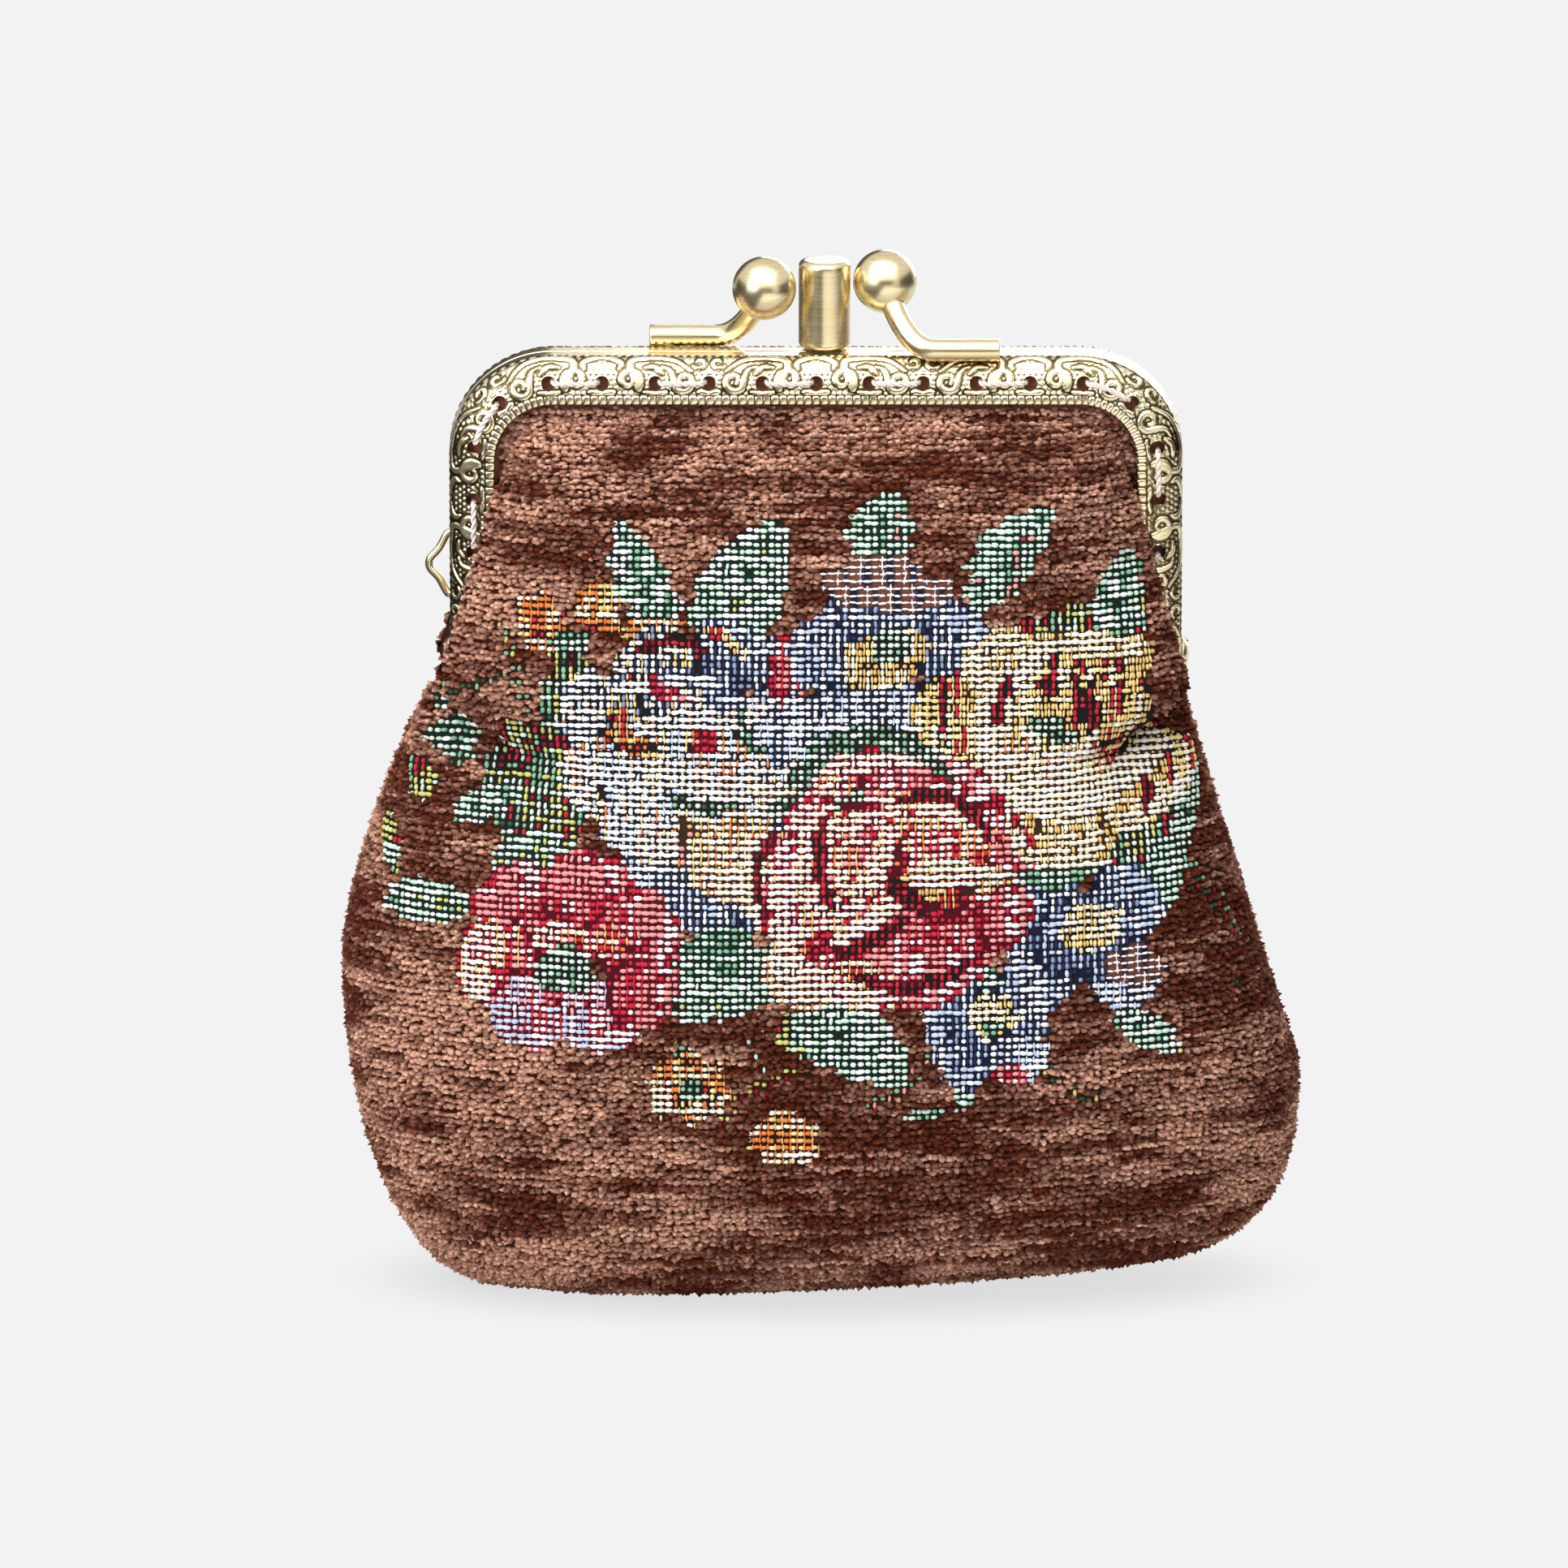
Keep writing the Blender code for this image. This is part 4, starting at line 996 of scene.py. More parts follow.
# how far the cloth laps out over the frame's legs, by height, and where it starts and ends beside them
LAP_HEIGHTS = np.array([65, 70, 73, 76, 79, 83, 87, 91, 95, 101]) * MM
LAP_REACHES = np.array([0.0, 8.0, 10.8, 10.0, 8.8, 7.5, 6.2, 5.1, 3.8, 0.0]) * MM
LAP_RISE = (6.4 * MM, 2.8 * MM)
LAP_FALL = (8.5 * MM, 17.0 * MM)
LAP_SWELL = 0.26
LAP_FULL = 3.0 * MM
RIGHT_LAP = 0.9
FLATTEN = 8.0 * MM
PUCKER_HEIGHT = 0.32 * MM
PUCKER_FADE = 13.0 * MM
PUCKER_PITCH, PUCKER_SWAY, PUCKER_CROSS = 2.3 * MM, 11.0 * MM, 3.7 * MM
BROAD_HEIGHT = 1.8 * MM
BROAD_STEPS = (17.0 * MM, 14.0 * MM)
# folds start this far inside the frame and above the base, and are full after so long
FOLDS_FROM, FOLDS_OVER, FOLDS_ABOVE = 0.5 * MM, 6.0 * MM, 12.0 * MM
HIP_FOLD = 1.6 * MM
HIP_PLACE = (50.0 * MM, 30.0 * MM)
HIP_SLOPE = 0.12
HIP_WIDTH = 4.5 * MM
HIP_FROM, HIP_OVER = 34.0 * MM, 14.0 * MM


def outline(z, hand):
    """Half width at a height: superellipse to the belly, power curve to the neck, then rounded in."""
    belly, belly_z, fullness, power, base, neck = LEFT_SIDE if hand < 0 else RIGHT_SIDE
    low = np.clip(1 - z / belly_z, 0.0, 1.0)
    below = base + (belly - base) * (1 - low ** power) ** (1 / power)
    rise = np.clip((z - belly_z) / (NECK_HEIGHT - belly_z), 0.0, 1.0)
    above = belly - (belly - neck) * rise ** fullness
    top = HALF_WIDTH - HINGE_CLOTH_EDGE
    share = np.clip((z - NECK_HEIGHT) / (NECK_TOP - NECK_HEIGHT), 0.0, 1.0)
    rounded = top + (above - top) * np.sqrt(1 - share ** 2)
    return np.where(z <= belly_z, below, rounded)


def cloth_edge(z):
    """Half the cloth's width inside the frame, narrower beside the hinge rivets."""
    narrow = 1 - smoothstep((z - HINGE_HEIGHT - EAR_RADIUS) / (2 * EAR_RADIUS))
    inset = mix(CLOTH_EDGE_INSET, HINGE_CLOTH_EDGE, narrow)
    up = np.maximum(0.0, z - (RIM_HEIGHT - CORNER_RADIUS))
    return STRAIGHT + np.sqrt(np.maximum(0.0, (CORNER_RADIUS - inset) ** 2 - up ** 2))


def frame_cloth_depth(under):
    """Depth of the cloth inside the frame, swelling forward once it is clear of the inner edge."""
    past = np.maximum(0.0, under - BAND_WIDTH - BULGE_START)
    swell = BULGE_DEPTH * (1 - np.exp(-past / BULGE_LENGTH))
    return np.maximum(PINCH_DEPTH, face_depth(under, SHEET) - FACE_CLEARANCE) + swell


def folds(x, z, under, side):
    """Puckers that fade away from the frame, broad unevenness, and a fold at the right hip."""
    clear = smoothstep((under - BAND_WIDTH - FOLDS_FROM) / FOLDS_OVER)
    wave = np.sin(x / PUCKER_PITCH + 1.7 * np.sin(x / PUCKER_SWAY + side))
    wave = wave + 0.6 * np.sin(x / PUCKER_CROSS + 2.0)
    pucker = PUCKER_HEIGHT * wave * clear * np.exp(-np.maximum(0, under - BAND_WIDTH) / PUCKER_FADE)
    broad = (soft_noise(x + 0.2, z, *BROAD_STEPS, 11 + side) - 0.5) * BROAD_HEIGHT
    broad = broad * clear * smoothstep(z / FOLDS_ABOVE)
    hip_x, hip_z = HIP_PLACE
    hip = HIP_FOLD * np.exp(-((z - hip_z - HIP_SLOPE * (x - hip_x)) / HIP_WIDTH) ** 2)
    return pucker + broad + hip * smoothstep((x - HIP_FROM) / HIP_OVER)


def cloth_point(side, across, height, inset):
    """Point of one side's cloth: across -1..1, height up the cloth (below 0 under the base), inset inwards.

    Each row is a superellipse that turns boxy at the neck and is flat inside the frame's channel. Beside
    the legs the cloth swells forward and laps out over them.
    """
    across, height = np.broadcast_arrays(np.asarray(across, float), np.asarray(height, float))
    z = np.maximum(0.0, height)
    tucked = np.clip(-height, 0.0, 1.0)
    above = smoothstep((z - NECK_TOP) / FLATTEN)
    half = np.where(across < 0, outline(z, -1), outline(z, 1)) - inset
    half = np.where(z > NECK_TOP, cloth_edge(z) - inset * (1 - above), half) - SEAM_END_INSET * tucked ** 2
    share = np.sin(across * math.pi / 2)
    x = share * half
    under = arch_inset(x, z)
    beside = HALF_WIDTH - np.abs(x)
    grown, faded = (smoothstep((beside - start) / width) for start, width in (LAP_RISE, LAP_FALL))
    lap = np.interp(z, LAP_HEIGHTS, LAP_REACHES) * np.where(x < 0, 1.0, RIGHT_LAP) * grown * (1 - faded)
    neckward = smoothstep((z - NECK_TOP + NECK_BLEND) / NECK_BLEND)
    low = np.clip(1 - z / BELLY_DEPTH_HEIGHT, 0.0, 1.0)
    belly = BASE_DEPTH + (BELLY_DEPTH - BASE_DEPTH) * (1 - low ** DEPTH_POWER) ** (1 / DEPTH_POWER)
    rise = np.clip((z - BELLY_DEPTH_HEIGHT) / (NECK_TOP - BELLY_DEPTH_HEIGHT), 0.0, 1.0)
    belly = belly - (BELLY_DEPTH - SHOULDER_DEPTH) * rise ** 2
    middle = mix(belly, frame_cloth_depth(under), neckward)
    power = mix(SECTION_POWER, NECK_POWER, neckward ** 3)
    ends = np.maximum(0.0, 1 - np.abs(share) ** power) ** (1 / power)
    ends = mix(ends, 1.0, above)
    depth = (middle + folds(x, z, under, side) + LAP_SWELL * lap - inset) * ends * (1 - tucked)
    x = x + np.sign(x) * (lap - np.maximum(0.0, inset - GROUND_INSET) * smoothstep(lap / LAP_FULL))
    lift, lift_from, lift_to, fade = RIGHT_LIFT
    raised = lift * smoothstep((x - lift_from) / (lift_to - lift_from)) * (1 - smoothstep(z / fade))
    flat = inset + z * (CLOTH_TOP - inset) / CLOTH_TOP
    lifted = np.where(z > NECK_TOP, z, mix(flat, z, smoothstep(z / NECK_TOP)))
    return np.stack([x, side * np.maximum(depth, SEAM_GAP / 2), lifted + raised], -1)


def meridian(side, inset):
    """Heights up the middle of the cloth against the length along it, from the seam under the base."""
    base = np.linspace(-1, 0, 60)[:-1]
    heights = np.concatenate([base, CLOTH_TOP * np.linspace(0, 1, 3000) ** 2])
    return heights, run_length(cloth_point(side, 0.0, heights, inset))


def row_lengths(side, height, inset):
    """Across values and their distance from the middle along one row of the cloth."""
    across = np.linspace(-1, 1, ROW_SAMPLES)
    length = run_length(cloth_point(side, across, height, inset))
    return across, length - length[ROW_SAMPLES // 2]


for label, side in SIDES.items():
    widest = max(np.ptp(row_lengths(side, z * MM, 0.0)[1]) for z in (20, 30, 40))
    cut = [round(length / MM, 1) for length in (meridian(side, 0.0)[1][-1], widest)]
    print(label, "cloth, length up the middle and widest row in mm:", cut)
GROUND_LENGTHS = {side: meridian(side, GROUND_INSET) for side in SIDES.values()}

# %% [markdown]
# ## Where the bouquet is woven
#
# The cloth is a tapestry weave: each cell of its grid is either a tuft of brown chenille or coloured
# thread on a dark ground. The bouquet is an ordinary arrangement of roses, blossoms and leaves. Each
# petal and leaf is a formula that gives every cell inside it a shade from dark root to light lip, and
# the shade picks the stitch: long light rows, dashes with warp between, dots, or bare ground.

# %% The weave's grid and its stitches
CELL_WIDTH = 0.86 * MM
CELL_HEIGHT = 0.84 * MM
SEAM_MARGIN = 0.15
SPRIG_WIDTH = 1.6 * MM
FLOAT_BREAKS = 0.16
DYED_ROWS = 5
# shade from which a cell gets a dot, a mid stitch, a light dash and a light float
DOT_FROM, MID_FROM, DASH_FROM, FLOAT_FROM = 0.08, 0.26, 0.54, 0.74
DIP_FROM, DIP_TO = 0.70, 0.92
COLOUR_SEED, WARP_SEED, DIP_SEED = 31, 32, 33
THREADS = {
    "cream": (255, 249, 232), "white": (250, 251, 255), "gold": (232, 190, 114), "yellow": (246, 218, 150),
    "orange": (228, 128, 62), "pink": (238, 160, 158), "red": (202, 38, 60), "wine": (136, 16, 36),
    "sky": (200, 214, 240), "blue": (138, 153, 188), "navy": (38, 44, 72), "mint": (212, 240, 222),
    "green": (136, 190, 156), "pine": (42, 86, 64), "lime": (210, 208, 118), "lilac": (206, 186, 216),
}
THREAD_NAMES = list(THREADS)
THREAD_TINTS = np.array([linear(*THREADS[name]) for name in THREAD_NAMES])
# the pile ground's dark brown is painted shade between the tufts
GROUNDS = {
    "pile": (58, 28, 18), "black": (32, 28, 28), "wine": (80, 18, 30), "navy": (28, 31, 48),
    "pine": (25, 37, 31), "umber": (56, 38, 26), "brown": (112, 66, 50),
}
GROUND_NAMES = list(GROUNDS)
GROUND_TINTS = np.array([linear(*GROUNDS[name]) for name in GROUND_NAMES])
# stitch: shift across and up and half its width and height, in cells, then its rise in millimetres
STITCHES = {
    "none": (0.0, 0.0, 0.0, 0.0, 0.0),
    "dash": (0.0, 0.0, 0.52, 0.355, 0.27),
    "float": (0.0, 0.0, 0.74, 0.38, 0.31),
    "dot": (0.0, 0.0, 0.40, 0.36, 0.26),
    "line": (0.0, 0.0, 0.32, 0.54, 0.26),
    "between": (0.0, 0.5, 0.26, 0.16, 0.21),
    "warp": (0.5, 0.0, 0.21, 0.56, 0.22),
    "thread": (0.0, 0.0, 0.64, 0.19, 0.24),
    "strand": (0.0, 0.0, 0.14, 0.62, 0.20),
}
STITCH_NAMES = list(STITCHES)
STITCH_SIZES = np.array([STITCHES[name] for name in STITCH_NAMES])
# weave: light rows, mid stitches and their kind, dark dots, warp lines if any, ground
WEAVES = {
    "leaf": ("mint white", "mint green mint", "dash", "green", "", "pine"),
    "light_leaf": ("mint white", "mint", "dash", "mint green lime", "", "pine"),
    "shade_leaf": ("mint", "green mint", "dot", "green pine", "", "black"),
    "rosy_leaf": ("mint", "mint green mint pink", "dash", "green green red", "", "pine"),
    "straw_leaf": ("white mint", "mint lime", "dash", "green mint", "", "pine"),
    "blue": ("white sky", "sky blue white", "line", "blue navy", "navy", "navy"),
    "ice": ("white", "white sky", "dash", "sky", "sky navy", "navy"),
    "snow": ("white", "white sky cream", "dash", "sky yellow", "yellow sky orange", "black"),
    "peony": ("white", "white yellow blue sky", "line", "red navy", "yellow navy", "black"),
    "cream": ("cream white", "cream", "dash", "gold pink", "gold yellow orange", "umber"),
    "butter": ("cream", "yellow gold cream", "line", "gold", "yellow gold", "umber"),
    "straw": ("cream yellow", "gold yellow gold red", "line", "gold red", "yellow", "black"),
    "peach": ("cream", "pink cream red", "dash", "red orange", "gold red orange", "wine"),
    "rosy": ("white cream", "pink red white", "dash", "red", "gold red", "wine"),
    "ruby": ("white pink", "red pink", "dash", "red", "red wine", "wine"),
    "berry": ("white sky", "pink white", "dash", "red", "lilac red", "wine"),
    "lattice": ("cream", "yellow gold cream", "line", "gold", "gold yellow", "black"),
    "thicket": ("mint lime", "green lime mint red", "line", "pine wine green", "", "black"),
    "ember": ("cream", "yellow orange", "dash", "orange red", "orange gold", "black"),
    "heart": ("yellow", "gold red", "line", "wine gold", "gold", "black"),
    "lip": ("white cream", "cream white", "dash", "pink orange", "gold orange", "wine"),
    "rim": ("cream white", "cream yellow", "dash", "gold", "yellow gold", "umber"),
    "fold": ("red", "red wine", "line", "wine red", "", "black"),
}


def weave_cells(side):
    """Every cell of one side's grid: row and column numbers, place on the cloth, and an empty pattern."""
    heights, length = GROUND_LENGTHS[side]
    found = []
    for row in range(int(length[-1] / CELL_HEIGHT)):
        height = np.interp((row + 0.5) * CELL_HEIGHT, length, heights)
        run = row_lengths(side, height, GROUND_INSET)[1] / CELL_WIDTH
        column = np.arange(math.ceil(run[0] + SEAM_MARGIN), math.floor(run[-1] - SEAM_MARGIN) + 1)
        found.append(np.stack([np.full(len(column), row), column]))
    row, column = np.concatenate(found, 1)
    u, v = column * CELL_WIDTH, (row + 0.5) * CELL_HEIGHT
    cells = {"row": row, "column": column, "u": u, "v": v}
    for key in ("main", "under", "main_tint", "under_tint", "ground"):
        cells[key] = np.zeros(len(u), int)
    cells["woven"] = np.zeros(len(u), bool)
    return cells


def pick(cells, names, seed):
    """One of several threads for each cell; a warp keeps its colour up a few rows, as dyed yarn does."""
    names = names.split()
    table = np.random.default_rng(seed).integers(0, len(names), LATTICE)
    chosen = tiled(table, cells["column"], cells["row"] // DYED_ROWS)
    return np.array([THREAD_NAMES.index(name) for name in names])[chosen]


def paint(cells, where, ground, main, main_names, under="none", under_names="cream"):
    """Gives the chosen cells their ground, stitches and thread colours."""
    cells["woven"][where] = True
    cells["ground"][where] = GROUND_NAMES.index(ground)
    layers = (("main", main, main_names, COLOUR_SEED), ("under", under, under_names, WARP_SEED))
    for layer, stitch, names, seed in layers:
        cells[layer][where] = STITCH_NAMES.index(stitch)
        cells[layer + "_tint"][where] = pick(cells, names, seed)[where]


def cell_noise(cells, apart, step_u, step_v, seed):
    """Smooth random values from -0.5 to 0.5 over the cells, read some way apart from other uses."""
    return soft_noise(cells["u"] + apart, cells["v"] + apart, step_u, step_v, seed) - 0.5


def shaded(cells, where, shade, weave):
    """Stitches for a lit form of shade 0 to 1: rows reach further by turns, and floats dip under a warp."""
    light, mid, kind, dark, line, ground = WEAVES[weave]
    row = cells["row"]
    hatch = 0.06 * ((row % 2) * 2 - 1) + 0.05 * (((row // 2) % 2) * 2 - 1)
    tone = shade + 0.10 + hatch + 0.26 * cell_noise(cells, 1.0, 1.9 * CELL_WIDTH, CELL_HEIGHT, 3)
    dips = tiled(np.random.default_rng(DIP_SEED).random(LATTICE), cells["column"], row) < FLOAT_BREAKS
    warp, between, line = ("warp", "between", line) if line else ("none", "none", dark)
    paint(cells, where, ground, "none", dark)
    paint(cells, where & (tone > DOT_FROM), ground, "dot", dark)
    paint(cells, where & (tone > MID_FROM), ground, kind, mid, warp, line)
    paint(cells, where & (tone > DASH_FROM), ground, "dash", light, warp, line)
    paint(cells, where & (tone > FLOAT_FROM), ground, "float", light, between, line)
    paint(cells, where & (tone > DIP_FROM) & (tone < DIP_TO) & dips, ground, "line", mid)


def turned(cells, u, v, length, width, turn):
    """Each cell's place along and across a form of this length and width, -1 to 1 inside it."""
    cos, sin = math.cos(math.radians(turn)), math.sin(math.radians(turn))
    p = ((cells["u"] - u) * cos + (cells["v"] - v) * sin) / (length / 2)
    q = (-(cells["u"] - u) * sin + (cells["v"] - v) * cos) / (width / 2)
    return p, q


def petal(cells, u, v, length, width, turn, weave, bias):
    """A rounded petal: dark at its root and outline, light along its lip at the far end of its length."""
    p, q = turned(cells, u, v, length, width, turn)
    wavy = 1 + 0.5 * cell_noise(cells, 2.0, 2.4 * MM, 2.0 * MM, 9)
    reach = (np.abs(p) ** 2.3 + np.abs(q) ** 2.3) / wavy
    lip = 0.26 * np.exp(-(((reach - 0.52) / 0.24) ** 2)) * smoothstep((p + 0.2) / 0.6)
    outline = 0.40 * smoothstep((reach - 0.68) / 0.22)
    crease = 0.16 * np.cos(6.5 * q + turn) * (1 - p) / 2
    shaded(cells, reach < 1, 0.42 + 0.28 * p + lip + crease - outline + bias, weave)


def leaf(cells, u, v, length, width, turn, weave):
    """A form t^.6 (1-t)^.8, broad at its foot and pointed, with a midrib and lit side veins."""
    p, q = turned(cells, u, v, length, width, turn)
    q = q - 0.14 * (1 - p ** 2)
    share = np.clip((p + 1) / 2, 0, 1)
    edge = 1.95 * share ** 0.6 * (1 - share) ** 0.8 * (1 + 0.08 * np.sin(13 * p + turn))
    inside = np.abs(q) < edge
    vein = np.cos(2 * math.pi * (1.1 * p - 0.7 * np.abs(q)) * max(1.2, length / (8 * MM)))
    light = np.where(q > 0, 0.64, 0.50) + 0.22 * vein
    shaded(cells, inside, light - 0.3 * np.exp(-((q / 0.10) ** 2)), weave)


def from_curve(cells, points):
    """Each cell's distance from a curve through points, and how far along it that is, 0 to 1."""
    line = sweep_curve(points)
    away = np.hypot(cells["u"][:, None] - line[:, 0], cells["v"][:, None] - line[:, 1])
    return away.min(1), away.argmin(1) / (len(line) - 1)


def stroke(cells, points, width, weave, shade):
    """A curved lip or fold: a band along a curve, strongest along its middle and narrow at its ends."""
    away, share = from_curve(cells, points)
    reach = away / (width / 2 * np.clip(0.5 + 2.5 * np.minimum(share, 1 - share), 0.0, 1.0))
    shaded(cells, reach < 1, shade - 0.2 * reach ** 2, weave)


def patch(cells, u, v, width, height, turn, weave, shade):
    """A ragged patch of even weave with uneven light, for hearts and for the foliage between flowers."""
    p, q = turned(cells, u, v, width, height, turn)
    ragged = 1 + 0.8 * cell_noise(cells, 3.0, 2.4 * MM, 1.8 * MM, 17)
    light = 0.55 * cell_noise(cells, 4.0, 3.4 * MM, 1.7 * MM, 18)
    shaded(cells, p ** 2 + q ** 2 < ragged, shade + light, weave)


def sprig(cells, points, first, second):
    """A stalk of single stitches along a curve, in two colours by turns."""
    near = from_curve(cells, points)[0] < SPRIG_WIDTH / 2
    beat = (cells["row"] + 2 * cells["column"]) % 5
    for turn, stitch, name in ((0, "dot", first), (2, "line", second), (3, "dash", first)):
        paint(cells, near & (beat == turn), "pile", stitch, name)


def net(cells, u, v, width, height):
    """Open white threads along every row and every third column, with the ground in sight between them."""
    p, q = turned(cells, u, v, width, height, 0.0)
    inside = p ** 2 + q ** 2 < 1 + 0.8 * cell_noise(cells, 5.0, 3 * MM, 2 * MM, 23)
    column = (cells["column"] + cells["row"] // 4) % 3
    paint(cells, inside, "brown", "thread", "white")
    paint(cells, inside & (column == 0), "brown", "thread", "white", "strand", "white sky")
    paint(cells, inside & (column == 1), "navy", "thread", "white")


# %% Lay out the bouquet
# Places are millimetres across and up as seen from the front, then sizes, turn, weave and shade.
PATCHES = (
    (-32.8, 61.4, 12.2, 17.8, 15, "thicket", 0.36), (0.5, 64.7, 25.3, 10.3, 15, "shade_leaf", 0.32),
    (-11.7, 50.5, 11.3, 11.3, 0, "blue", 0.45), (-11.3, 42.9, 12.2, 8.4, 0, "leaf", 0.4),
    (17.4, 38.6, 13.1, 8.4, 0, "leaf", 0.36), (38, 54.6, 13.1, 11.3, 0, "thicket", 0.34),
    (-11.7, 57.8, 23.5, 14.1, -15, "peony", 0.55), (31.4, 81.2, 15, 5.6, 5, "thicket", 0.4),
    (-3.8, 74.4, 5.2, 11.3, 0, "ruby", 0.42), (-29.1, 71, 6.6, 15.9, 0, "thicket", 0.4),
    (-22, 52.2, 12.2, 5.6, -5, "ice", 0.6), (0.5, 34.8, 11.3, 6.6, 0, "thicket", 0.42),
    (-9.4, 79.5, 8.4, 6.6, 0, "peony", 0.45), (11.7, 66.5, 10.3, 4.7, 0, "shade_leaf", 0.4),
)
LEAVES = (
    (8.2, 92.3, 10.3, 10.5, 80, "rosy_leaf"), (-7.8, 85.4, 19.2, 14.1, 66, "light_leaf"),
    (-19.7, 86.9, 15.5, 9.4, 115, "leaf"), (22.8, 89.5, 15.5, 9.8, 52, "rosy_leaf"),
    (35.6, 84.4, 12.2, 8.9, 75, "leaf"), (-41.3, 67.1, 12.2, 7, -35, "leaf"),
    (-41.7, 71.4, 9.4, 5.2, -25, "leaf"), (-31.9, 54.1, 12.7, 7.5, 8, "straw_leaf"),
    (-38, 59.6, 10.3, 5.6, 30, "leaf"), (-45, 47.9, 13.6, 7.3, 4, "straw_leaf"),
    (-10.8, 38.3, 14.5, 7.3, 8, "light_leaf"), (4, 32.9, 16.9, 11.7, -32, "light_leaf"),
    (38.5, 33.1, 10.8, 5.8, -30, "light_leaf"), (40.8, 51.6, 9.4, 7.5, 70, "light_leaf"),
    (43.4, 58.6, 11.3, 5.2, 75, "shade_leaf"), (16.9, 39.8, 9.4, 5.6, 12, "light_leaf"),
    (-2.3, 62, 10.3, 4.7, 10, "light_leaf"), (17.8, 28.3, 8.4, 4.2, 70, "rosy_leaf"),
    (12.7, 24.4, 5.6, 2.4, 10, "leaf"),
)
WHITE_PETALS = (
    (-9.8, 77.6, 8.9, 10.3, 75, "blue", 0), (-18.8, 75.6, 10.3, 11.3, 115, "peony", 0.02),
    (-25, 70.8, 10.3, 11.3, 175, "peony", 0.12), (-24.4, 63.5, 10.8, 10.3, 205, "snow", 0.1),
    (-19.2, 59.1, 10.3, 12.2, 255, "snow", 0.14), (-10.3, 56.5, 12.2, 11.3, 290, "cream", 0.05),
    (-6.6, 63.8, 11.7, 10.3, 335, "snow", 0.14), (-4.7, 69.7, 9.4, 9.4, 20, "ice", 0.05),
    (-14.5, 71.6, 9.8, 11.2, 85, "blue", 0.02), (-17.8, 65.5, 10.3, 12.2, 205, "snow", 0.16),
    (-11.3, 63.8, 9.8, 11.3, 300, "snow", 0.2),
)
YELLOW_PETALS = (
    (16.6, 70.3, 10.8, 11.7, 195, "straw", -0.04), (22, 76.2, 10.3, 10.3, 135, "butter", 0.12),
    (30.5, 76.9, 7.5, 17.8, 90, "butter", 0.04), (39.4, 63.5, 11.3, 12.2, 330, "straw", -0.03),
    (27.2, 57.1, 8.9, 17.8, 268, "butter", 0.08), (21.3, 57.9, 10.3, 7.5, 225, "butter", 0.12),
    (29.5, 70.1, 15, 20.2, 85, "straw", -0.08), (20.6, 70, 5.2, 15.9, 170, "butter", 0.34),
    (34.2, 71.1, 7.5, 9.4, 20, "straw", -0.02), (26.8, 64, 8.4, 16.0, 262, "cream", 0.34),
    (37.1, 59.7, 6.6, 10.3, 300, "butter", 0.1),
)
PINK_PETALS = (
    (-5.6, 52.8, 6.6, 12.8, 182, "cream", 0.26), (-1.9, 42.2, 8.4, 9.8, 228, "cream", 0.25),
    (3.5, 64.7, 6, 11.2, 112, "peach", 0.18), (13.6, 62.4, 9.4, 18.8, 72, "ruby", 0.1),
    (20.4, 53.1, 9.4, 18.8, 0, "ruby", 0.08), (13.6, 43.4, 10.3, 15.9, 300, "ruby", 0.1),
    (5.3, 42, 9.4, 12.2, 255, "rosy", 0.08), (0, 52.8, 12.2, 18.8, 175, "rosy", 0.04),
    (12.7, 57.4, 10.3, 17.8, 70, "peach", 0.02), (3.8, 54.7, 11.3, 14.1, 165, "peach", 0.04),
    (16.9, 53, 3.6, 11.2, 80, "cream", 0.2), (11.7, 50.5, 5.6, 8.9, 90, "heart", -0.1),
    (11.3, 45.3, 8.4, 15.9, 265, "ruby", 0.08), (5.3, 48.8, 4.2, 13.5, 118, "rosy", 0.06),
)
RED_PETALS = (
    (-34.2, 48.4, 10.8, 11.3, 130, "ruby", 0.06), (-26.3, 50, 10.3, 11.3, 80, "ruby", 0.08),
    (-21.1, 45.6, 10.3, 11.3, 25, "ruby", 0.05), (-36.9, 41.7, 9.8, 11.3, 185, "rosy", 0.08),
    (-33.3, 36.4, 9.8, 9.8, 235, "berry", 0.12), (-25, 36.2, 8.9, 10.8, 275, "berry", 0.14),
    (-20.2, 39.5, 7.5, 11.3, 340, "ruby", 0.02),
)
BLUE_PETALS = (
    (0.5, 77.9, 8.9, 8.9, 180, "blue", 0.12), (15.7, 79.4, 8.9, 10.8, 0, "blue", 0.14),
    (7, 71.1, 8, 17.8, 270, "ice", 0.12), (2.6, 81.6, 6, 6.4, 120, "blue", 0.14),
    (14.2, 82, 6, 6.4, 60, "blue", 0.14), (8.2, 83, 7.0, 12.0, 90, "blue", 0.14),
    (26.7, 48.3, 10.3, 10.3, 150, "blue", 0.05), (35.6, 48.3, 9.4, 10.3, 35, "blue", 0.05),
    (26.7, 41.7, 10.3, 9.4, 215, "blue", 0.05), (35.6, 40.8, 9.4, 9.4, 320, "ice", 0),
    (31.4, 44.8, 10.3, 11.3, 90, "blue", -0.02), (15.9, 36.7, 7.5, 8.4, 170, "blue", 0.05),
    (23.5, 37, 7.5, 7.5, 20, "blue", 0.05), (17.4, 31.3, 7, 7.5, 235, "blue", 0.05),
    (23.5, 31.2, 7, 7.5, 300, "ice", 0.08),
)
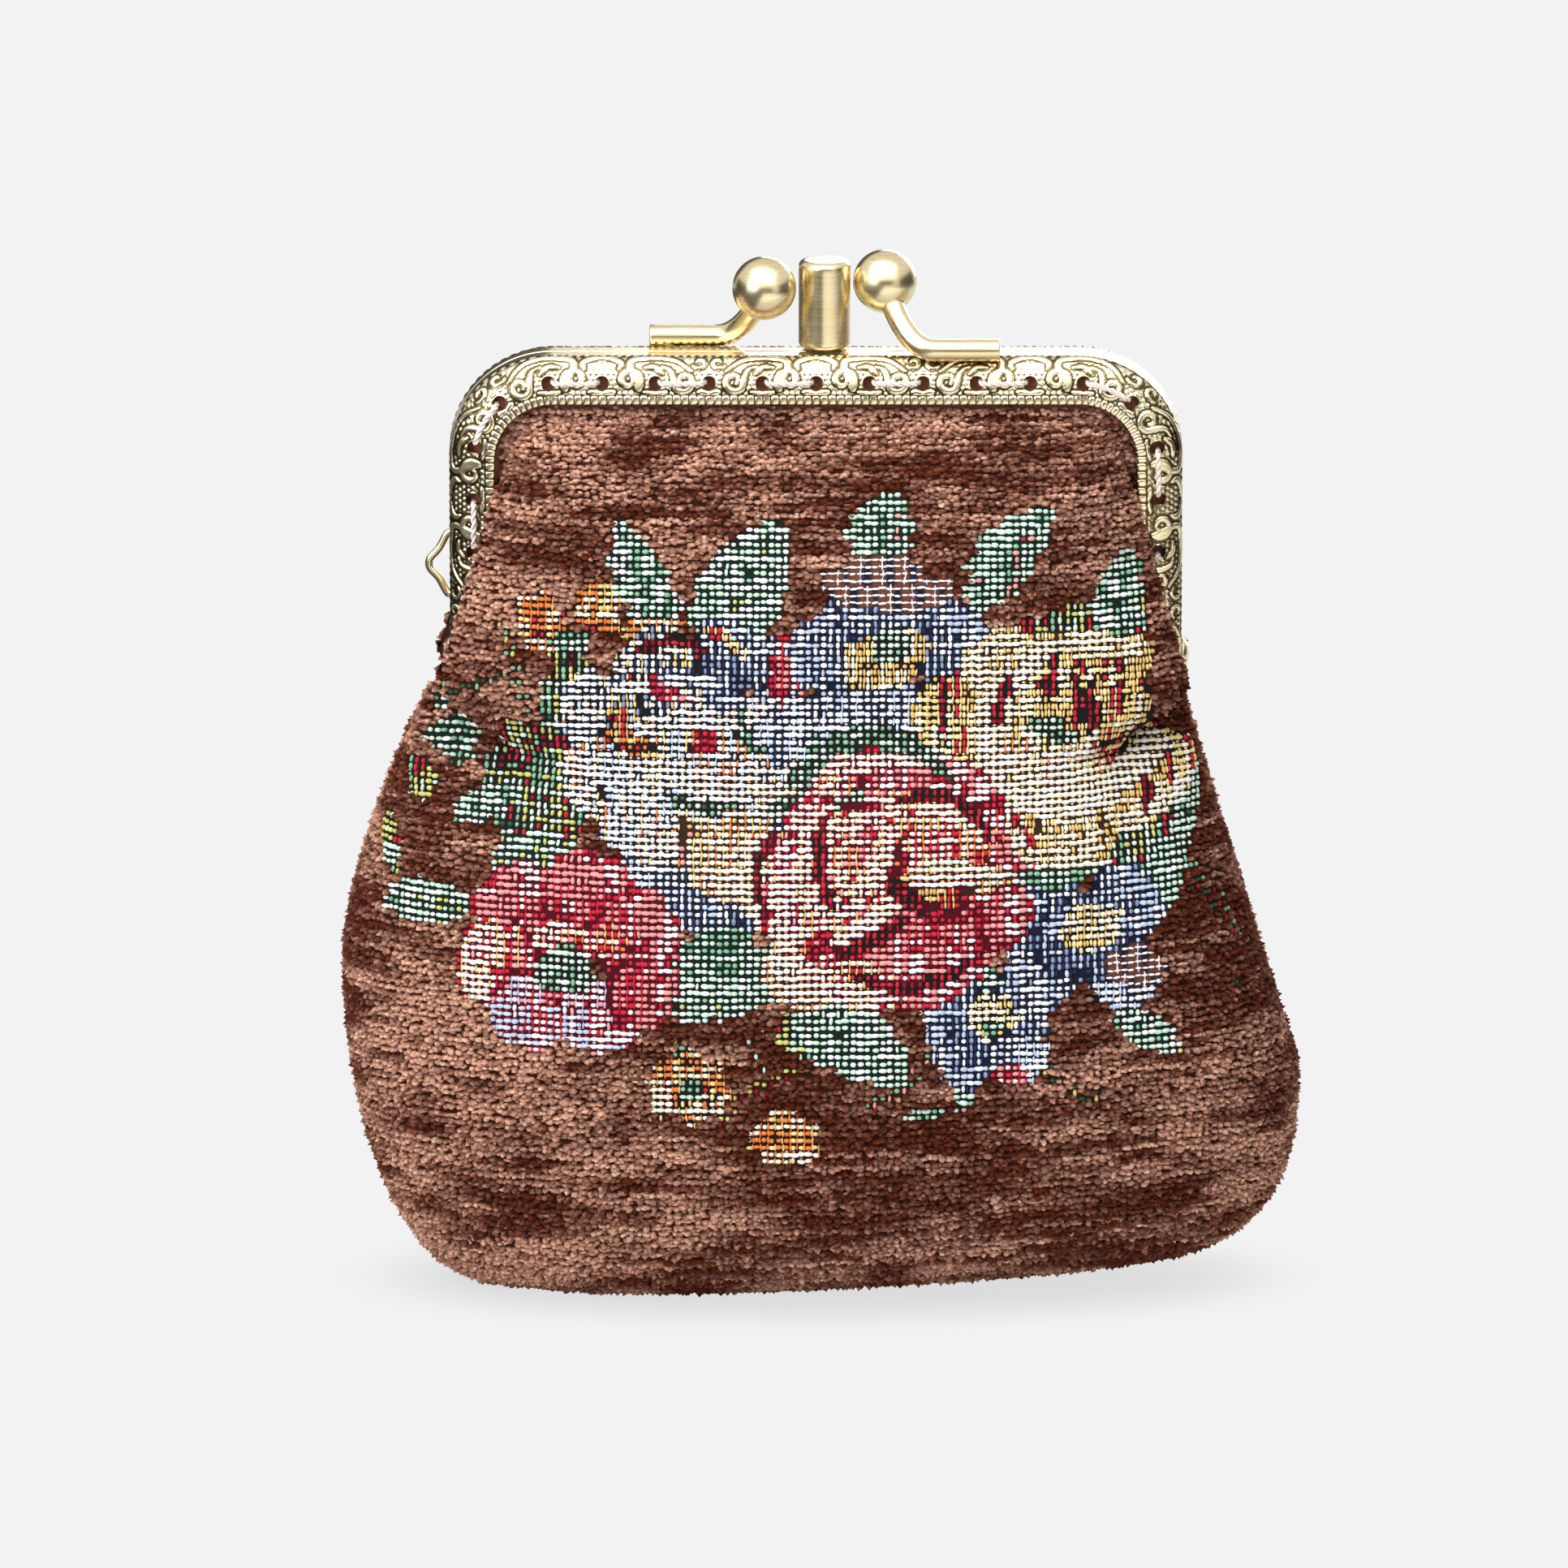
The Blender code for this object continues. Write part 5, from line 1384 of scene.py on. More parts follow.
HEARTS = (
    (8, 77.6, 10.5, 7.6, 0, "lattice", 0.40), (8.4, 79.3, 4.5, 4.9, 0, "shade_leaf", 0.42),
    (31.9, 46.5, 7.5, 5.3, 0, "lattice", 0.56), (20.2, 35.9, 5.6, 5.6, 0, "lattice", 0.5),
    (20.4, 34.7, 2.8, 2.8, 0, "leaf", 0.4), (22.2, 29, 4.3, 2.4, 0, "ruby", 0.45),
    (-15.9, 71.5, 6.6, 5.6, 20, "peony", 0.4), (-12.9, 67.7, 3.2, 2.8, 0, "ruby", 0.4),
    (27.5, 68.8, 6.2, 3.2, -30, "shade_leaf", 0.34), (-28.1, 45.1, 12.2, 4.3, 0, "peach", 0.5),
    (-29.5, 41.4, 7.1, 5.8, 0, "shade_leaf", 0.4), (-46, 61.7, 4.1, 6.6, 20, "thicket", 0.5),
    (-49.4, 54.1, 4.3, 7.1, 10, "thicket", 0.45), (-32.4, 81.6, 5.3, 7.5, 10, "ember", 0.5),
    (-25.3, 83.4, 5.3, 6.2, 0, "ember", 0.42), (-28.6, 79.4, 5.6, 2.8, 0, "leaf", 0.3),
    (-15, 27.9, 9.4, 8.3, 0, "ember", 0.52), (-14.5, 27.4, 3.2, 3.2, 0, "shade_leaf", 0.35),
    (-3.8, 21.3, 8.4, 6.2, 0, "ember", 0.44),
)
# A lip or fold: its points, width, weave and shade.
STROKES = (
    ([(7.3, 59), (8.3, 57.7), (7.7, 55.1), (6.3, 52.8), (5.4, 51.4)], 2.4, "lip", 0.98),
    ([(1.3, 60.6), (-0.8, 57.8), (-1.7, 54.3), (-1.1, 50.8), (0.7, 47.8)], 2, "lip", 0.9),
    ([(0.4, 61.8), (3.7, 64.4), (8.4, 65.7), (12.5, 65.1)], 1.9, "lip", 0.86),
    ([(-4.9, 46.6), (-3.1, 44), (-0.8, 41.9), (1.3, 40.1), (1.9, 38.3)], 2.2, "lip", 0.92),
    ([(9.7, 50.5), (7.5, 48.7), (4.8, 46.6), (2.2, 45.2)], 2.6, "lip", 1),
    ([(10.4, 51.9), (13.1, 52.6), (16, 52.3), (19, 52.7)], 1.9, "lip", 0.95),
    ([(8.7, 52), (10.4, 50.5), (12.5, 49)], 2.2, "fold", 0.12),
    ([(2.5, 43.5), (5.4, 45), (8.4, 46.6), (10.7, 48.3)], 1.7, "fold", 0.25),
    ([(9, 61.2), (13.7, 62), (17.8, 60.2), (20.2, 56.4)], 1.6, "fold", 0.3),
    ([(0.7, 58.9), (0.4, 54.3), (1.6, 49.6)], 1.5, "fold", 0.3),
    ([(4.2, 41.3), (9, 40), (14.3, 40.6), (19, 43.5)], 1.6, "fold", 0.28),
    ([(27.6, 78.1), (23.7, 75.9), (21.1, 72.8), (19.7, 69.1), (20.2, 65)], 3, "rim", 0.98),
    ([(20.2, 64.5), (23.7, 61.5), (28.4, 59.9), (33.2, 61.1), (37.3, 63.9), (39.4, 66.5)],
     3.6, "rim", 0.98),
    ([(23.7, 69.5), (26.1, 66.9), (29.6, 66.1), (32.6, 68.2)], 1.8, "rim", 0.85),
    ([(36.7, 58), (40.8, 59.4), (43.5, 61.8)], 2, "rim", 0.88),
    ([(21.9, 59.3), (24.3, 55.2), (29, 53.3), (34.3, 53.9)], 1.8, "rim", 0.85),
    ([(24.9, 69.5), (27.3, 68.7), (29.9, 67.3)], 1.2, "shade_leaf", 0.32),
    ([(22.2, 75.4), (21.5, 72.5), (20.9, 69.6)], 1.5, "fold", 0.36),
    ([(32, 72.8), (32.1, 69.1)], 1.6, "fold", 0.36),
    ([(14.7, 75), (14.5, 69.4)], 1.6, "fold", 0.36),
    ([(38.2, 62.4), (38.5, 58.5)], 1.3, "fold", 0.36),
    ([(-23.2, 73.5), (-20.5, 74.3), (-17.6, 73.9)], 1.8, "snow", 0.95),
    ([(-18.8, 69.6), (-14.6, 70.3), (-10.5, 69.7), (-5.8, 71.5)], 2.4, "snow", 0.98),
    ([(-19.4, 65.1), (-15.8, 64), (-10.5, 62.8), (-6.4, 64.1)], 2.9, "snow", 1),
    ([(-29.4, 64.2), (-25.8, 63.6), (-21.7, 61.6), (-23.5, 58.7)], 1.9, "snow", 0.95),
    ([(-29.7, 69.3), (-27, 71.1), (-23.5, 70)], 1.7, "snow", 0.9),
    ([(-24.1, 68.6), (-21.7, 67.3), (-19.1, 66.1)], 2.7, "ember", 0.26),
    ([(-20.5, 78.6), (-16.4, 79.6), (-12.9, 78.8)], 1.5, "fold", 0.3),
    ([(-17.6, 61.7), (-13.5, 60.3), (-9.3, 60.6)], 1.4, "shade_leaf", 0.3),
    ([(-5.2, 59.5), (-2.2, 63.2), (1.3, 66.9), (6, 68.2), (11.3, 67.2), (15.2, 64.1)],
     2.7, "shade_leaf", 0.4),
    ([(23.1, 52.9), (27.3, 52.1), (32, 52.8)], 2.1, "leaf", 0.42),
    ([(-5.8, 48.7), (-7, 52), (-6.4, 55.4), (-4.6, 58.3)], 1.2, "fold", 0.3),
    ([(27.3, 77.5), (27, 72.3)], 1.1, "fold", 0.4),
    ([(30, 75), (29.9, 69.8)], 0.9, "fold", 0.4),
    ([(34.9, 75.2), (34.7, 70)], 0.9, "fold", 0.4),
    ([(40.8, 65.5), (41.2, 61)], 0.9, "fold", 0.4),
    ([(4.2, 57.8), (5.7, 59.5), (7.5, 59.5)], 1.4, "lip", 0.95),
    ([(1.9, 53.7), (4, 51.4), (5.4, 49.6)], 1.4, "lip", 0.9),
    ([(-21.7, 79.5), (-21.7, 81.2), (-18.2, 81.9), (-14.6, 81.4)], 1.3, "ember", 0.55),
    ([(-13.5, 81.4), (-9.9, 79.7), (-8.1, 76.8)], 1.3, "straw", 0.5),
    ([(-4.3, 78.9), (-4.3, 71.6)], 2, "ruby", 0.5),
    ([(-19.4, 75.5), (-17.6, 73.2), (-14.6, 72.6)], 1.5, "ruby", 0.42),
    ([(-23.5, 71.3), (-22.6, 68.4)], 2.1, "heart", 0.35),
    ([(-9, 71.5), (-8.1, 67.5), (-5.8, 66.4)], 1.5, "shade_leaf", 0.3),
    ([(-8.1, 61.8), (-5.8, 62.6), (-2.8, 61.8)], 1.8, "rim", 0.85),
)
NETS = ((8.2, 86.4, 14.0, 6.4), (37.4, 41.2, 7.4, 5.6))
SPRIGS = (
    ([(43, 53), (47, 48), (50, 42)], "green", "wine"), ([(44, 50), (48, 44), (49, 37)], "pine", "red"),
    ([(-30, 83), (-28, 78), (-25, 74)], "orange", "red"),
    ([(-36, 81), (-35, 76), (-33, 71)], "green", "lime"),
    ([(14, 32), (10, 28), (6, 26)], "green", "pink"), ([(26, 31), (29, 27), (33, 26)], "pine", "lime"),
    ([(-8, 33), (-6, 28), (-4, 24)], "wine", "mint"), ([(-16, 33), (-16, 28), (-18, 23)], "green", "lime"),
    ([(-3, 30), (-9, 26), (-11, 23)], "lime", "wine"), ([(-42, 64), (-37, 70), (-33, 76)], "pine", "green"),
)


def place_of(x, z):
    """Where a point seen from the front, x across and z up in millimetres, lies on the flat cloth."""
    heights, length = GROUND_LENGTHS[FRONT]
    across, run = row_lengths(FRONT, z * MM, GROUND_INSET)
    seen = np.maximum.accumulate(cloth_point(FRONT, across, z * MM, GROUND_INSET)[:, 0])
    return float(np.interp(x * MM, seen, run)), float(np.interp(z * MM, heights, length))


def bouquet(side):
    """All the motifs painted on one side's cells, from the leaves behind to the rose in front.

    The back is painted mirrored, so that both sides look alike from outside.
    """
    cells = weave_cells(side)
    own_u = cells["u"]
    cells["u"] = -side * own_u

    def all_of(form, table):
        """Paints each row of a table as one form."""
        for x, z, length, width, *rest in table:
            form(cells, *place_of(x, z), length * MM, width * MM, *rest)

    for points, first, second in SPRIGS:
        sprig(cells, [place_of(*point) for point in points], first, second)
    all_of(patch, PATCHES)
    all_of(leaf, LEAVES)
    for petals in (BLUE_PETALS, WHITE_PETALS, YELLOW_PETALS, RED_PETALS, PINK_PETALS):
        all_of(petal, petals)
    all_of(net, NETS)
    all_of(patch, HEARTS)
    for points, width, weave, shade in STROKES:
        stroke(cells, [place_of(*point) for point in points], width * MM, weave, shade)
    cells["u"] = own_u
    print("cells", len(own_u), "woven share", round(float(cells["woven"].mean()), 2))
    return cells


cells_of = {side: bouquet(side) for side in SIDES.values()}

# %% [markdown]
# ## Ground cloth, tufts and threads
#
# The ground cloth is the sheet itself. The tufts and threads are separate pieces that stand on it,
# each a small dome of a few faces copied to every cell, because that gives the soft broken outline of
# real chenille at any distance. Colour runs from a dark root to a light tip, which is painted shade
# low between the tufts and a painted highlight on their tips, in uneven bands, partly random tone and
# partly painted sheen of pile stroked up or down.

# %% Copying a small shape to many places
# steps for the cloth's directions: across, up, and on the part that is tucked under the base
ACROSS_STEP, UP_STEP, TUCK_STEP = 0.004, 0.25 * MM, 0.02


def cloth_frames(side, u, v):
    """Place, across, upward and outward directions at points (u, v) of one side's flat cloth."""
    heights, length = GROUND_LENGTHS[side]
    height = np.interp(v, length, heights)
    across = np.zeros(len(u))
    for level in np.unique(v):
        row = v == level
        stations, run = row_lengths(side, np.interp(level, length, heights), GROUND_INSET)
        across[row] = np.interp(u[row], run, stations)
    upper = np.where(height < 0, np.minimum(height + TUCK_STEP, 0.0), height + UP_STEP)
    here = cloth_point(side, across, height, GROUND_INSET)
    right = cloth_point(side, np.minimum(across + ACROSS_STEP, 1), height, GROUND_INSET)
    left = cloth_point(side, np.maximum(across - ACROSS_STEP, -1), height, GROUND_INSET)
    over = cloth_point(side, across, upper, GROUND_INSET)
    sideways = unit(right - left)
    outwards = unit(np.cross(sideways, unit(over - here))) * -side
    return here, sideways, np.cross(outwards, sideways) * -side, outwards


def dome(sides, rings):
    """A small dome on the unit circle: (radius, height) rings and an apex, with its faces."""
    around = np.stack([np.cos(circle(sides)), np.sin(circle(sides))], -1)
    points = [np.insert(around * radius, 2, height, axis=1) for radius, height in rings]
    points = np.concatenate(points + [[[0.0, 0.0, 1.0]]])
    last = (len(rings) - 1) * sides + np.arange(sides)
    top = np.stack([last, np.roll(last, -1), np.full(sides, len(points) - 1)], -1)
    return points, [grid_faces(len(rings), sides, closed=True), top]


def copies(template, places, sizes, lean=0.0, uneven=1.0):
    """The template at every place, scaled along (sideways, upwards, outwards), uneven and leant over."""
    points, faces = template
    here, sideways, upwards, outwards = places
    scaled = points[None] * sizes[:, None, :] * uneven
    scaled[..., :2] += lean * np.clip(points[None, :, 2:], 0, 1)
    world = here[:, None] + scaled[..., :1] * sideways[:, None] + scaled[..., 1:2] * upwards[:, None]
    world = world + scaled[..., 2:] * outwards[:, None]
    start = (np.arange(len(here)) * len(points))[:, None, None]
    return world.reshape(-1, 3), [(face[None] + start).reshape(-1, face.shape[1]) for face in faces]


# %% Ground cloth
SHEET_COLUMNS = 190
SHEET_ROWS = 210
PILE_BEHIND_HOLES = linear(150, 96, 76)
LINING_BROWN = linear(96, 62, 48)


def cloth_grid(side, inset, columns, rows):
    """Points of a sheet, even along its middle and along each row, and their flat places."""
    heights, length = meridian(side, inset)
    up = np.linspace(0, length[-1], rows)
    points, flat = [], []
    for level in up:
        height = np.interp(level, length, heights)
        stations, run = row_lengths(side, height, inset)
        share = np.linspace(-1, 1, columns)
        u = np.where(share < 0, -share * run[0], share * run[-1])
        points.append(cloth_point(side, np.interp(u, run, stations), height, inset))
        flat.append(np.stack([u, np.full(columns, level)], -1))
    return np.array(points), np.array(flat)


def ground_sheet(name, side):
    """The woven ground: the weave's own dark under the bouquet, and under the pile a dark brown that paints
    the shade between the tufts.
    """
    cells = cells_of[side]
    points, flat = cloth_grid(side, GROUND_INSET, SHEET_COLUMNS, SHEET_ROWS)
    rows, columns = cells["row"].max() + 1, 2 * np.abs(cells["column"]).max() + 3
    chart = np.zeros((rows, columns), int)
    chart[cells["row"], cells["column"] + columns // 2] = cells["ground"]
    row = np.clip((flat[..., 1] / CELL_HEIGHT).astype(int), 0, rows - 1)
    column = np.clip(np.round(flat[..., 0] / CELL_WIDTH).astype(int) + columns // 2, 0, columns - 1)
    tint = GROUND_TINTS[chart[row, column]]
    behind_frame = smoothstep((BAND_WIDTH + MM - arch_inset(points[..., 0], points[..., 2])) / MM)
    behind_frame = behind_frame * (points[..., 2] > LEG_END) * (np.abs(points[..., 1]) < FRAME_DEPTH)
    tint = mix(tint, PILE_BEHIND_HOLES, behind_frame[..., None])
    faces = [turned_over(grid_faces(SHEET_ROWS, SHEET_COLUMNS), side == BACK)]
    return make_piece(name, points, faces, chenille_ground, colours={"tint": tint}, uv=flat.reshape(-1, 2))


grounds = {side: ground_sheet(label + "_cloth", side) for label, side in SIDES.items()}

# %% Chenille tufts
TUFT_DOME = dome(5, ((1.0, -0.15), (0.72, 0.55)))
TUFT_SIZE = (0.62 * MM, 0.38 * MM, 0.64 * MM)
FILLER_SHIFTS = ((0.5, 0.08), (0.25, 0.5))
FILLER_SHARE = 0.75
FILLER_SIZE = 0.84
# painted shade: fillers half a row up are darker and lower, so the gaps between rows read dark
ROW_GAP_SHADE = 0.62
ROW_GAP_HEIGHT = 0.8
FRAME_TUFT_HEIGHT = 0.55
FRAME_TUFT_FADE = 3.0 * MM
# random spreads: place in mm, size, form, lean in mm, tone, tip with painted glints, and root tone of the
# painted shade
TUFT_JITTER = 0.2
TUFT_SIZES = (0.75, 1.25)
TUFT_FORMS = (0.72, 1.28)
TUFT_LEAN, TUFT_SAG = 0.2, -0.14
TONE_SPREAD = 0.16
TIP_TONES_AND_GLINTS = (0.62, 1.42)
ROOT_TONES = (0.7, 1.6)
# how far a tuft or thread keeps from the frame's band, leg and face, and the turn where the seam hides it
BAND_MARGIN, LEG_MARGIN, FACE_MARGIN, SEAM_TURN = 0.45 * MM, 0.7 * MM, 0.25 * MM, -0.35
FREE_OF_FRAME = 0.5 * MM
TUFT_SEEDS = {FRONT: 21, BACK: 41}
# streaks, clouds and broad patches of the pile, partly random tone and partly painted nap sheen: step along
# a row, step up, weight
PILE_LAYERS = ((6.0 * MM, 0.9 * MM, 0.75), (7.0 * MM, 3.2 * MM, 0.62), (24.0 * MM, 14.0 * MM, 0.5))
# how much darker the pile is painted to the right as shade, and over what reach; how much lighter above as
# painted light, and from where
PILE_TO_RIGHT = (0.10, 50.0 * MM)
PILE_ABOVE = (0.12, 92.0 * MM, 22.0 * MM)
# painted shade at each tuft's root, and tips from shade to light that paint the nap's sheen
PILE_ROOT_SHADE = linear(58, 18, 8)
PILE_SHADE = linear(102, 43, 24)
PILE_LIGHT = linear(246, 188, 160)


def shown_cells(side, chosen):
    """The chosen cells that are clear of the frame's band and of the seam under the base."""
    here, sideways, upwards, outwards = cloth_frames(side, cells_of[side]["u"], cells_of[side]["v"])
    under = arch_inset(here[:, 0], here[:, 2])
    before_face = np.abs(here[:, 1]) > face_depth(under, 0.0) + FACE_MARGIN
    clear = (under > BAND_WIDTH + BAND_MARGIN) | (here[:, 2] < LEG_END - LEG_MARGIN) | before_face
    take = chosen & clear & (outwards[:, 1] * side > SEAM_TURN)
    return take, (here[take], sideways[take], upwards[take], outwards[take])


def pile_tone(u, v, seed):
    """Light and dark of the pile, 0 to 1: streaks and clouds, partly random and partly painted nap sheen,
    with painted shade to the right and painted light above.
    """
    tone = 0.5
    for number, (step_u, step_v, weight) in enumerate(PILE_LAYERS):
        tone = tone + weight * (soft_noise(u + 1.0, v, step_u, step_v, seed + number) - 0.5)
    right, reach = PILE_TO_RIGHT
    above, start, over = PILE_ABOVE
    return smoothstep(tone - (right * np.clip(u / reach, -1, 1) - above * np.clip((v - start) / over, 0, 1)))


def tufts(name, side):
    """A dome on every cell that isn't woven and smaller ones between, each uneven in form and tone."""
    rng = np.random.default_rng(TUFT_SEEDS[side])
    cells = cells_of[side]
    take, places = shown_cells(side, ~cells["woven"])
    chosen = [np.arange(len(places[0]))]
    chosen += [np.flatnonzero(rng.random(len(places[0])) < FILLER_SHARE) for _ in FILLER_SHIFTS]
    number = np.concatenate(chosen)
    shift = np.repeat([(0.0, 0.0), *FILLER_SHIFTS], [len(part) for part in chosen], axis=0)
    order = np.argsort(places[0][number, 2], kind="stable")
    number, shift = number[order], shift[order] * (CELL_WIDTH, CELL_HEIGHT)
    extra = (shift.sum(1) > 0).astype(float)
    row_gap = (shift[:, 1] > 0.3 * CELL_HEIGHT).astype(float)
    here, sideways, upwards, outwards = (part[number] for part in places)
    u, v = cells["u"][take][number], cells["v"][take][number]
    count = len(here)
    shift = shift + rng.uniform(-TUFT_JITTER, TUFT_JITTER, (count, 2)) * MM
    here = here + shift[:, :1] * sideways + shift[:, 1:] * upwards
    near_frame = smoothstep((arch_inset(here[:, 0], here[:, 2]) - BAND_WIDTH) / FRAME_TUFT_FADE)
    free = (here[:, 2] < LEG_END) | (np.abs(here[:, 1]) > FRAME_DEPTH + FREE_OF_FRAME)
    sizes = np.array(TUFT_SIZE) * rng.uniform(*TUFT_SIZES, (count, 3))
    sizes *= mix(1.0, FILLER_SIZE, extra)[:, None]
    height = np.where(free, 1.0, mix(FRAME_TUFT_HEIGHT, 1.0, near_frame))
    sizes[:, 2] *= height * mix(1.0, ROW_GAP_HEIGHT, row_gap)
    lean = np.stack([rng.normal(middle, TUFT_LEAN, count) for middle in (0, TUFT_SAG)], -1)[:, None] * MM
    corners = len(TUFT_DOME[0])
    uneven = rng.uniform(*TUFT_FORMS, (count, corners, 3))
    points, faces = copies(TUFT_DOME, (here, sideways, upwards, outwards), sizes, lean, uneven)
    tone = pile_tone(u, v, TUFT_SEEDS[side] + 1) + rng.normal(0, TONE_SPREAD, count)
    tone = np.clip(tone, 0.0, 1.0)[:, None, None]
    # painted highlight on the tips and painted shade at the roots, blended by height up each tuft
    tip = mix(PILE_SHADE, PILE_LIGHT, tone ** 1.6) * rng.uniform(*TIP_TONES_AND_GLINTS, (count, corners, 1))
    tip = tip * mix(1.0, ROW_GAP_SHADE, row_gap)[:, None, None]
    rise = np.clip(TUFT_DOME[0][:, 2], 0, 1)[None, :, None]
    tint = np.clip(mix(PILE_ROOT_SHADE * mix(*ROOT_TONES, tone), tip, rise), 0.0, 1.0)
    points = points.reshape(count, corners, 3)
    faces = [face.reshape(count, -1, face.shape[1]) for face in faces]
    cuts = [count * third // 3 for third in range(4)]
    made = []
    for label, low, high in zip(("low", "mid", "high"), cuts, cuts[1:]):
        part = [face[low:high].reshape(-1, face.shape[2]) - low * corners for face in faces]
        colours = {"tint": tint[low:high]}
        made.append(make_piece(f"{name}_{label}", points[low:high], part, chenille_pile, colours=colours))
    return made


pile = {side: tufts(label + "_tufts", side) for label, side in SIDES.items()}

# %% Woven threads
THREAD_DOME = dome(8, ((1.0, -0.35), (0.78, 0.62)))
THREAD_LAYERS = {"weft": "main", "warp": "under"}
THREAD_SEEDS = {FRONT: (5, 6), BACK: (7, 8)}
# random spreads: place in mm, tilt, smallest and largest sizes, tone; then the painted shade at a thread's
# foot
STITCH_JITTER = 0.08
STITCH_TILT = 0.07
STITCH_SMALLEST, STITCH_LARGEST = (0.72, 0.85, 0.8), (1.12, 1.12, 1.2)
STITCH_TONES = (0.94, 1.2)
FOOT_PAINTED_SHADE = 0.66


def threads(name, side, layer, seed):
    """One layer of stitches: a flat dome on each woven cell, sized and placed by its stitch."""
    rng = np.random.default_rng(seed)
    cells = cells_of[side]
    take, places = shown_cells(side, cells["woven"] & (cells[layer] > 0))
    here, sideways, upwards, outwards = places
    stitch = STITCH_SIZES[cells[layer][take]]
    jitter = rng.uniform(-STITCH_JITTER, STITCH_JITTER, (len(here), 2)) * MM
    shift = stitch[:, :2] * (CELL_WIDTH, CELL_HEIGHT) + jitter
    here = here + shift[:, :1] * sideways + shift[:, 1:] * upwards
    tilt = rng.normal(0, STITCH_TILT, (len(here), 1))
    sideways, upwards = sideways + tilt * upwards, upwards - tilt * sideways
    spread = rng.uniform(STITCH_SMALLEST, STITCH_LARGEST, (len(here), 3))
    sizes = stitch[:, 2:] * (CELL_WIDTH, CELL_HEIGHT, MM) * spread
    points, faces = copies(THREAD_DOME, (here, sideways, upwards, outwards), sizes)
    tint = THREAD_TINTS[cells[layer + "_tint"][take]] * rng.uniform(*STITCH_TONES, (len(here), 1))
    # painted shade: each thread is darker at its foot, where it meets the ground
    rise = np.clip(THREAD_DOME[0][:, 2], 0, 1)
    tint = tint[:, None] * mix(FOOT_PAINTED_SHADE, 1.0, rise)[None, :, None]
    return make_piece(name, points, faces, woven_thread, colours={"tint": np.clip(tint, 0, 1)})


embroidery = {
    side: [threads(f"{label}_{name}", side, layer, seed)
           for (name, layer), seed in zip(THREAD_LAYERS.items(), THREAD_SEEDS[side])]
    for label, side in SIDES.items()
}

# %% Lining
LINING_COLUMNS, LINING_ROWS = 120, 130
LINING_PLAY = 0.3 * MM


def lining_sheet(name, side):
    """A plain cotton sheet just inside the chenille."""
    points, flat = cloth_grid(side, LINING_INSET + LINING_PLAY, LINING_COLUMNS, LINING_ROWS)
    faces = [turned_over(grid_faces(LINING_ROWS, LINING_COLUMNS), side == FRONT)]
    tint = np.tile(LINING_BROWN, (LINING_ROWS * LINING_COLUMNS, 1))
    return make_piece(name, points, faces, lining_cotton, colours={"tint": tint}, uv=flat.reshape(-1, 2))


linings = {side: lining_sheet(label + "_lining", side) for label, side in SIDES.items()}

# %% [markdown]
# ## The cloth pieces
#
# Each cloth piece has its place baked into its points, the CAD panels and linings it stands for are
# hidden, and the areas of each side's cloth and lining are printed.


def mesh_area(piece):
    """The area of all the faces of a piece, in square metres."""
    areas = np.zeros(len(piece.data.polygons), np.float32)
    piece.data.polygons.foreach_get("area", areas)
    return float(areas.sum())


for label, side in SIDES.items():
    ground, lining, extras = grounds[side], linings[side], pile[side] + embroidery[side]
    for piece in [ground, lining] + extras:
        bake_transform(piece)
    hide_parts(label + "_panel_upper", label + "_panel_lower")
    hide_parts(label + "_lining_upper", label + "_lining_lower")
    print(label, "cloth and lining", [round(mesh_area(sheet) * 1e6) for sheet in (ground, lining)], "mm2")
    mesh_area(ground)
    mesh_area(lining)

# %% [markdown]
# ## Stage and light
#
# The photograph is a studio shot on white. The floor and the world show a pale grey to the camera and
# to reflections, so the light on the purse can stay at a plain level: a soft box above, one at the
# front left, one behind for the back, and a dim room. Cards that only reflections see give the brass
# its contrast.

# %% Floor, world and lamps
PAPER = float(linear(242, 242, 242)[0])
FLOOR_REACH = 6.0


def show_or_light(tree, output, lit, seen):
    """Shows one shader to the camera, to reflections and through glass, and another to all other light."""
    path = add_node(tree, "ShaderNodeLightPath").outputs
    either = math_node(tree, "MAXIMUM", path["Is Camera Ray"], path["Is Glossy Ray"])
    direct = math_node(tree, "MAXIMUM", either, path["Is Transmission Ray"])
    choose = add_node(tree, "ShaderNodeMixShader", _0=direct, _1=lit.outputs[0], _2=seen.outputs[0])
    feed(tree, tree.nodes[output], Surface=choose.outputs[0])


def flat_sheet(name, material, centre, across, up):
    """One flat face; its two directions are half its width and half its height."""
    turns = np.array([(-1, -1), (1, -1), (1, 1), (-1, 1)])
    corners = np.array(centre) + turns @ np.array([across, up])
    made = make_piece(name, corners, [np.arange(4)[None]], material)
    return made


paper_floor, tree, shader = start_material("paper_floor")
tree.nodes.remove(shader)
paper = add_node(tree, "ShaderNodeBsdfDiffuse", Color=(0.8, 0.8, 0.8, 1))
# painted shadow: to the camera the floor's colour is darkened by ambient occlusion near the purse
contact = add_node(tree, "ShaderNodeAmbientOcclusion", {"samples": 8}, Distance=0.012)
contact_shade = ramp_value(tree, contact.outputs["AO"], 0.0, 1.0, 0.80 * PAPER, PAPER)
show_or_light(tree, "Material Output", paper, add_node(tree, "ShaderNodeEmission", Color=contact_shade))
flat_sheet("floor", paper_floor, ORIGIN, (FLOOR_REACH, 0, 0), (0, FLOOR_REACH, 0))

world = bpy.data.worlds.new("studio")
bpy.context.scene.world = world
world.use_nodes = True
room = world.node_tree.nodes["Background"]
feed(world.node_tree, room, Color=WHITE, Strength=0.26)
wall = add_node(world.node_tree, "ShaderNodeBackground", Color=(PAPER, PAPER, PAPER, 1.0), Strength=1.0)
show_or_light(world.node_tree, "World Output", room, wall)

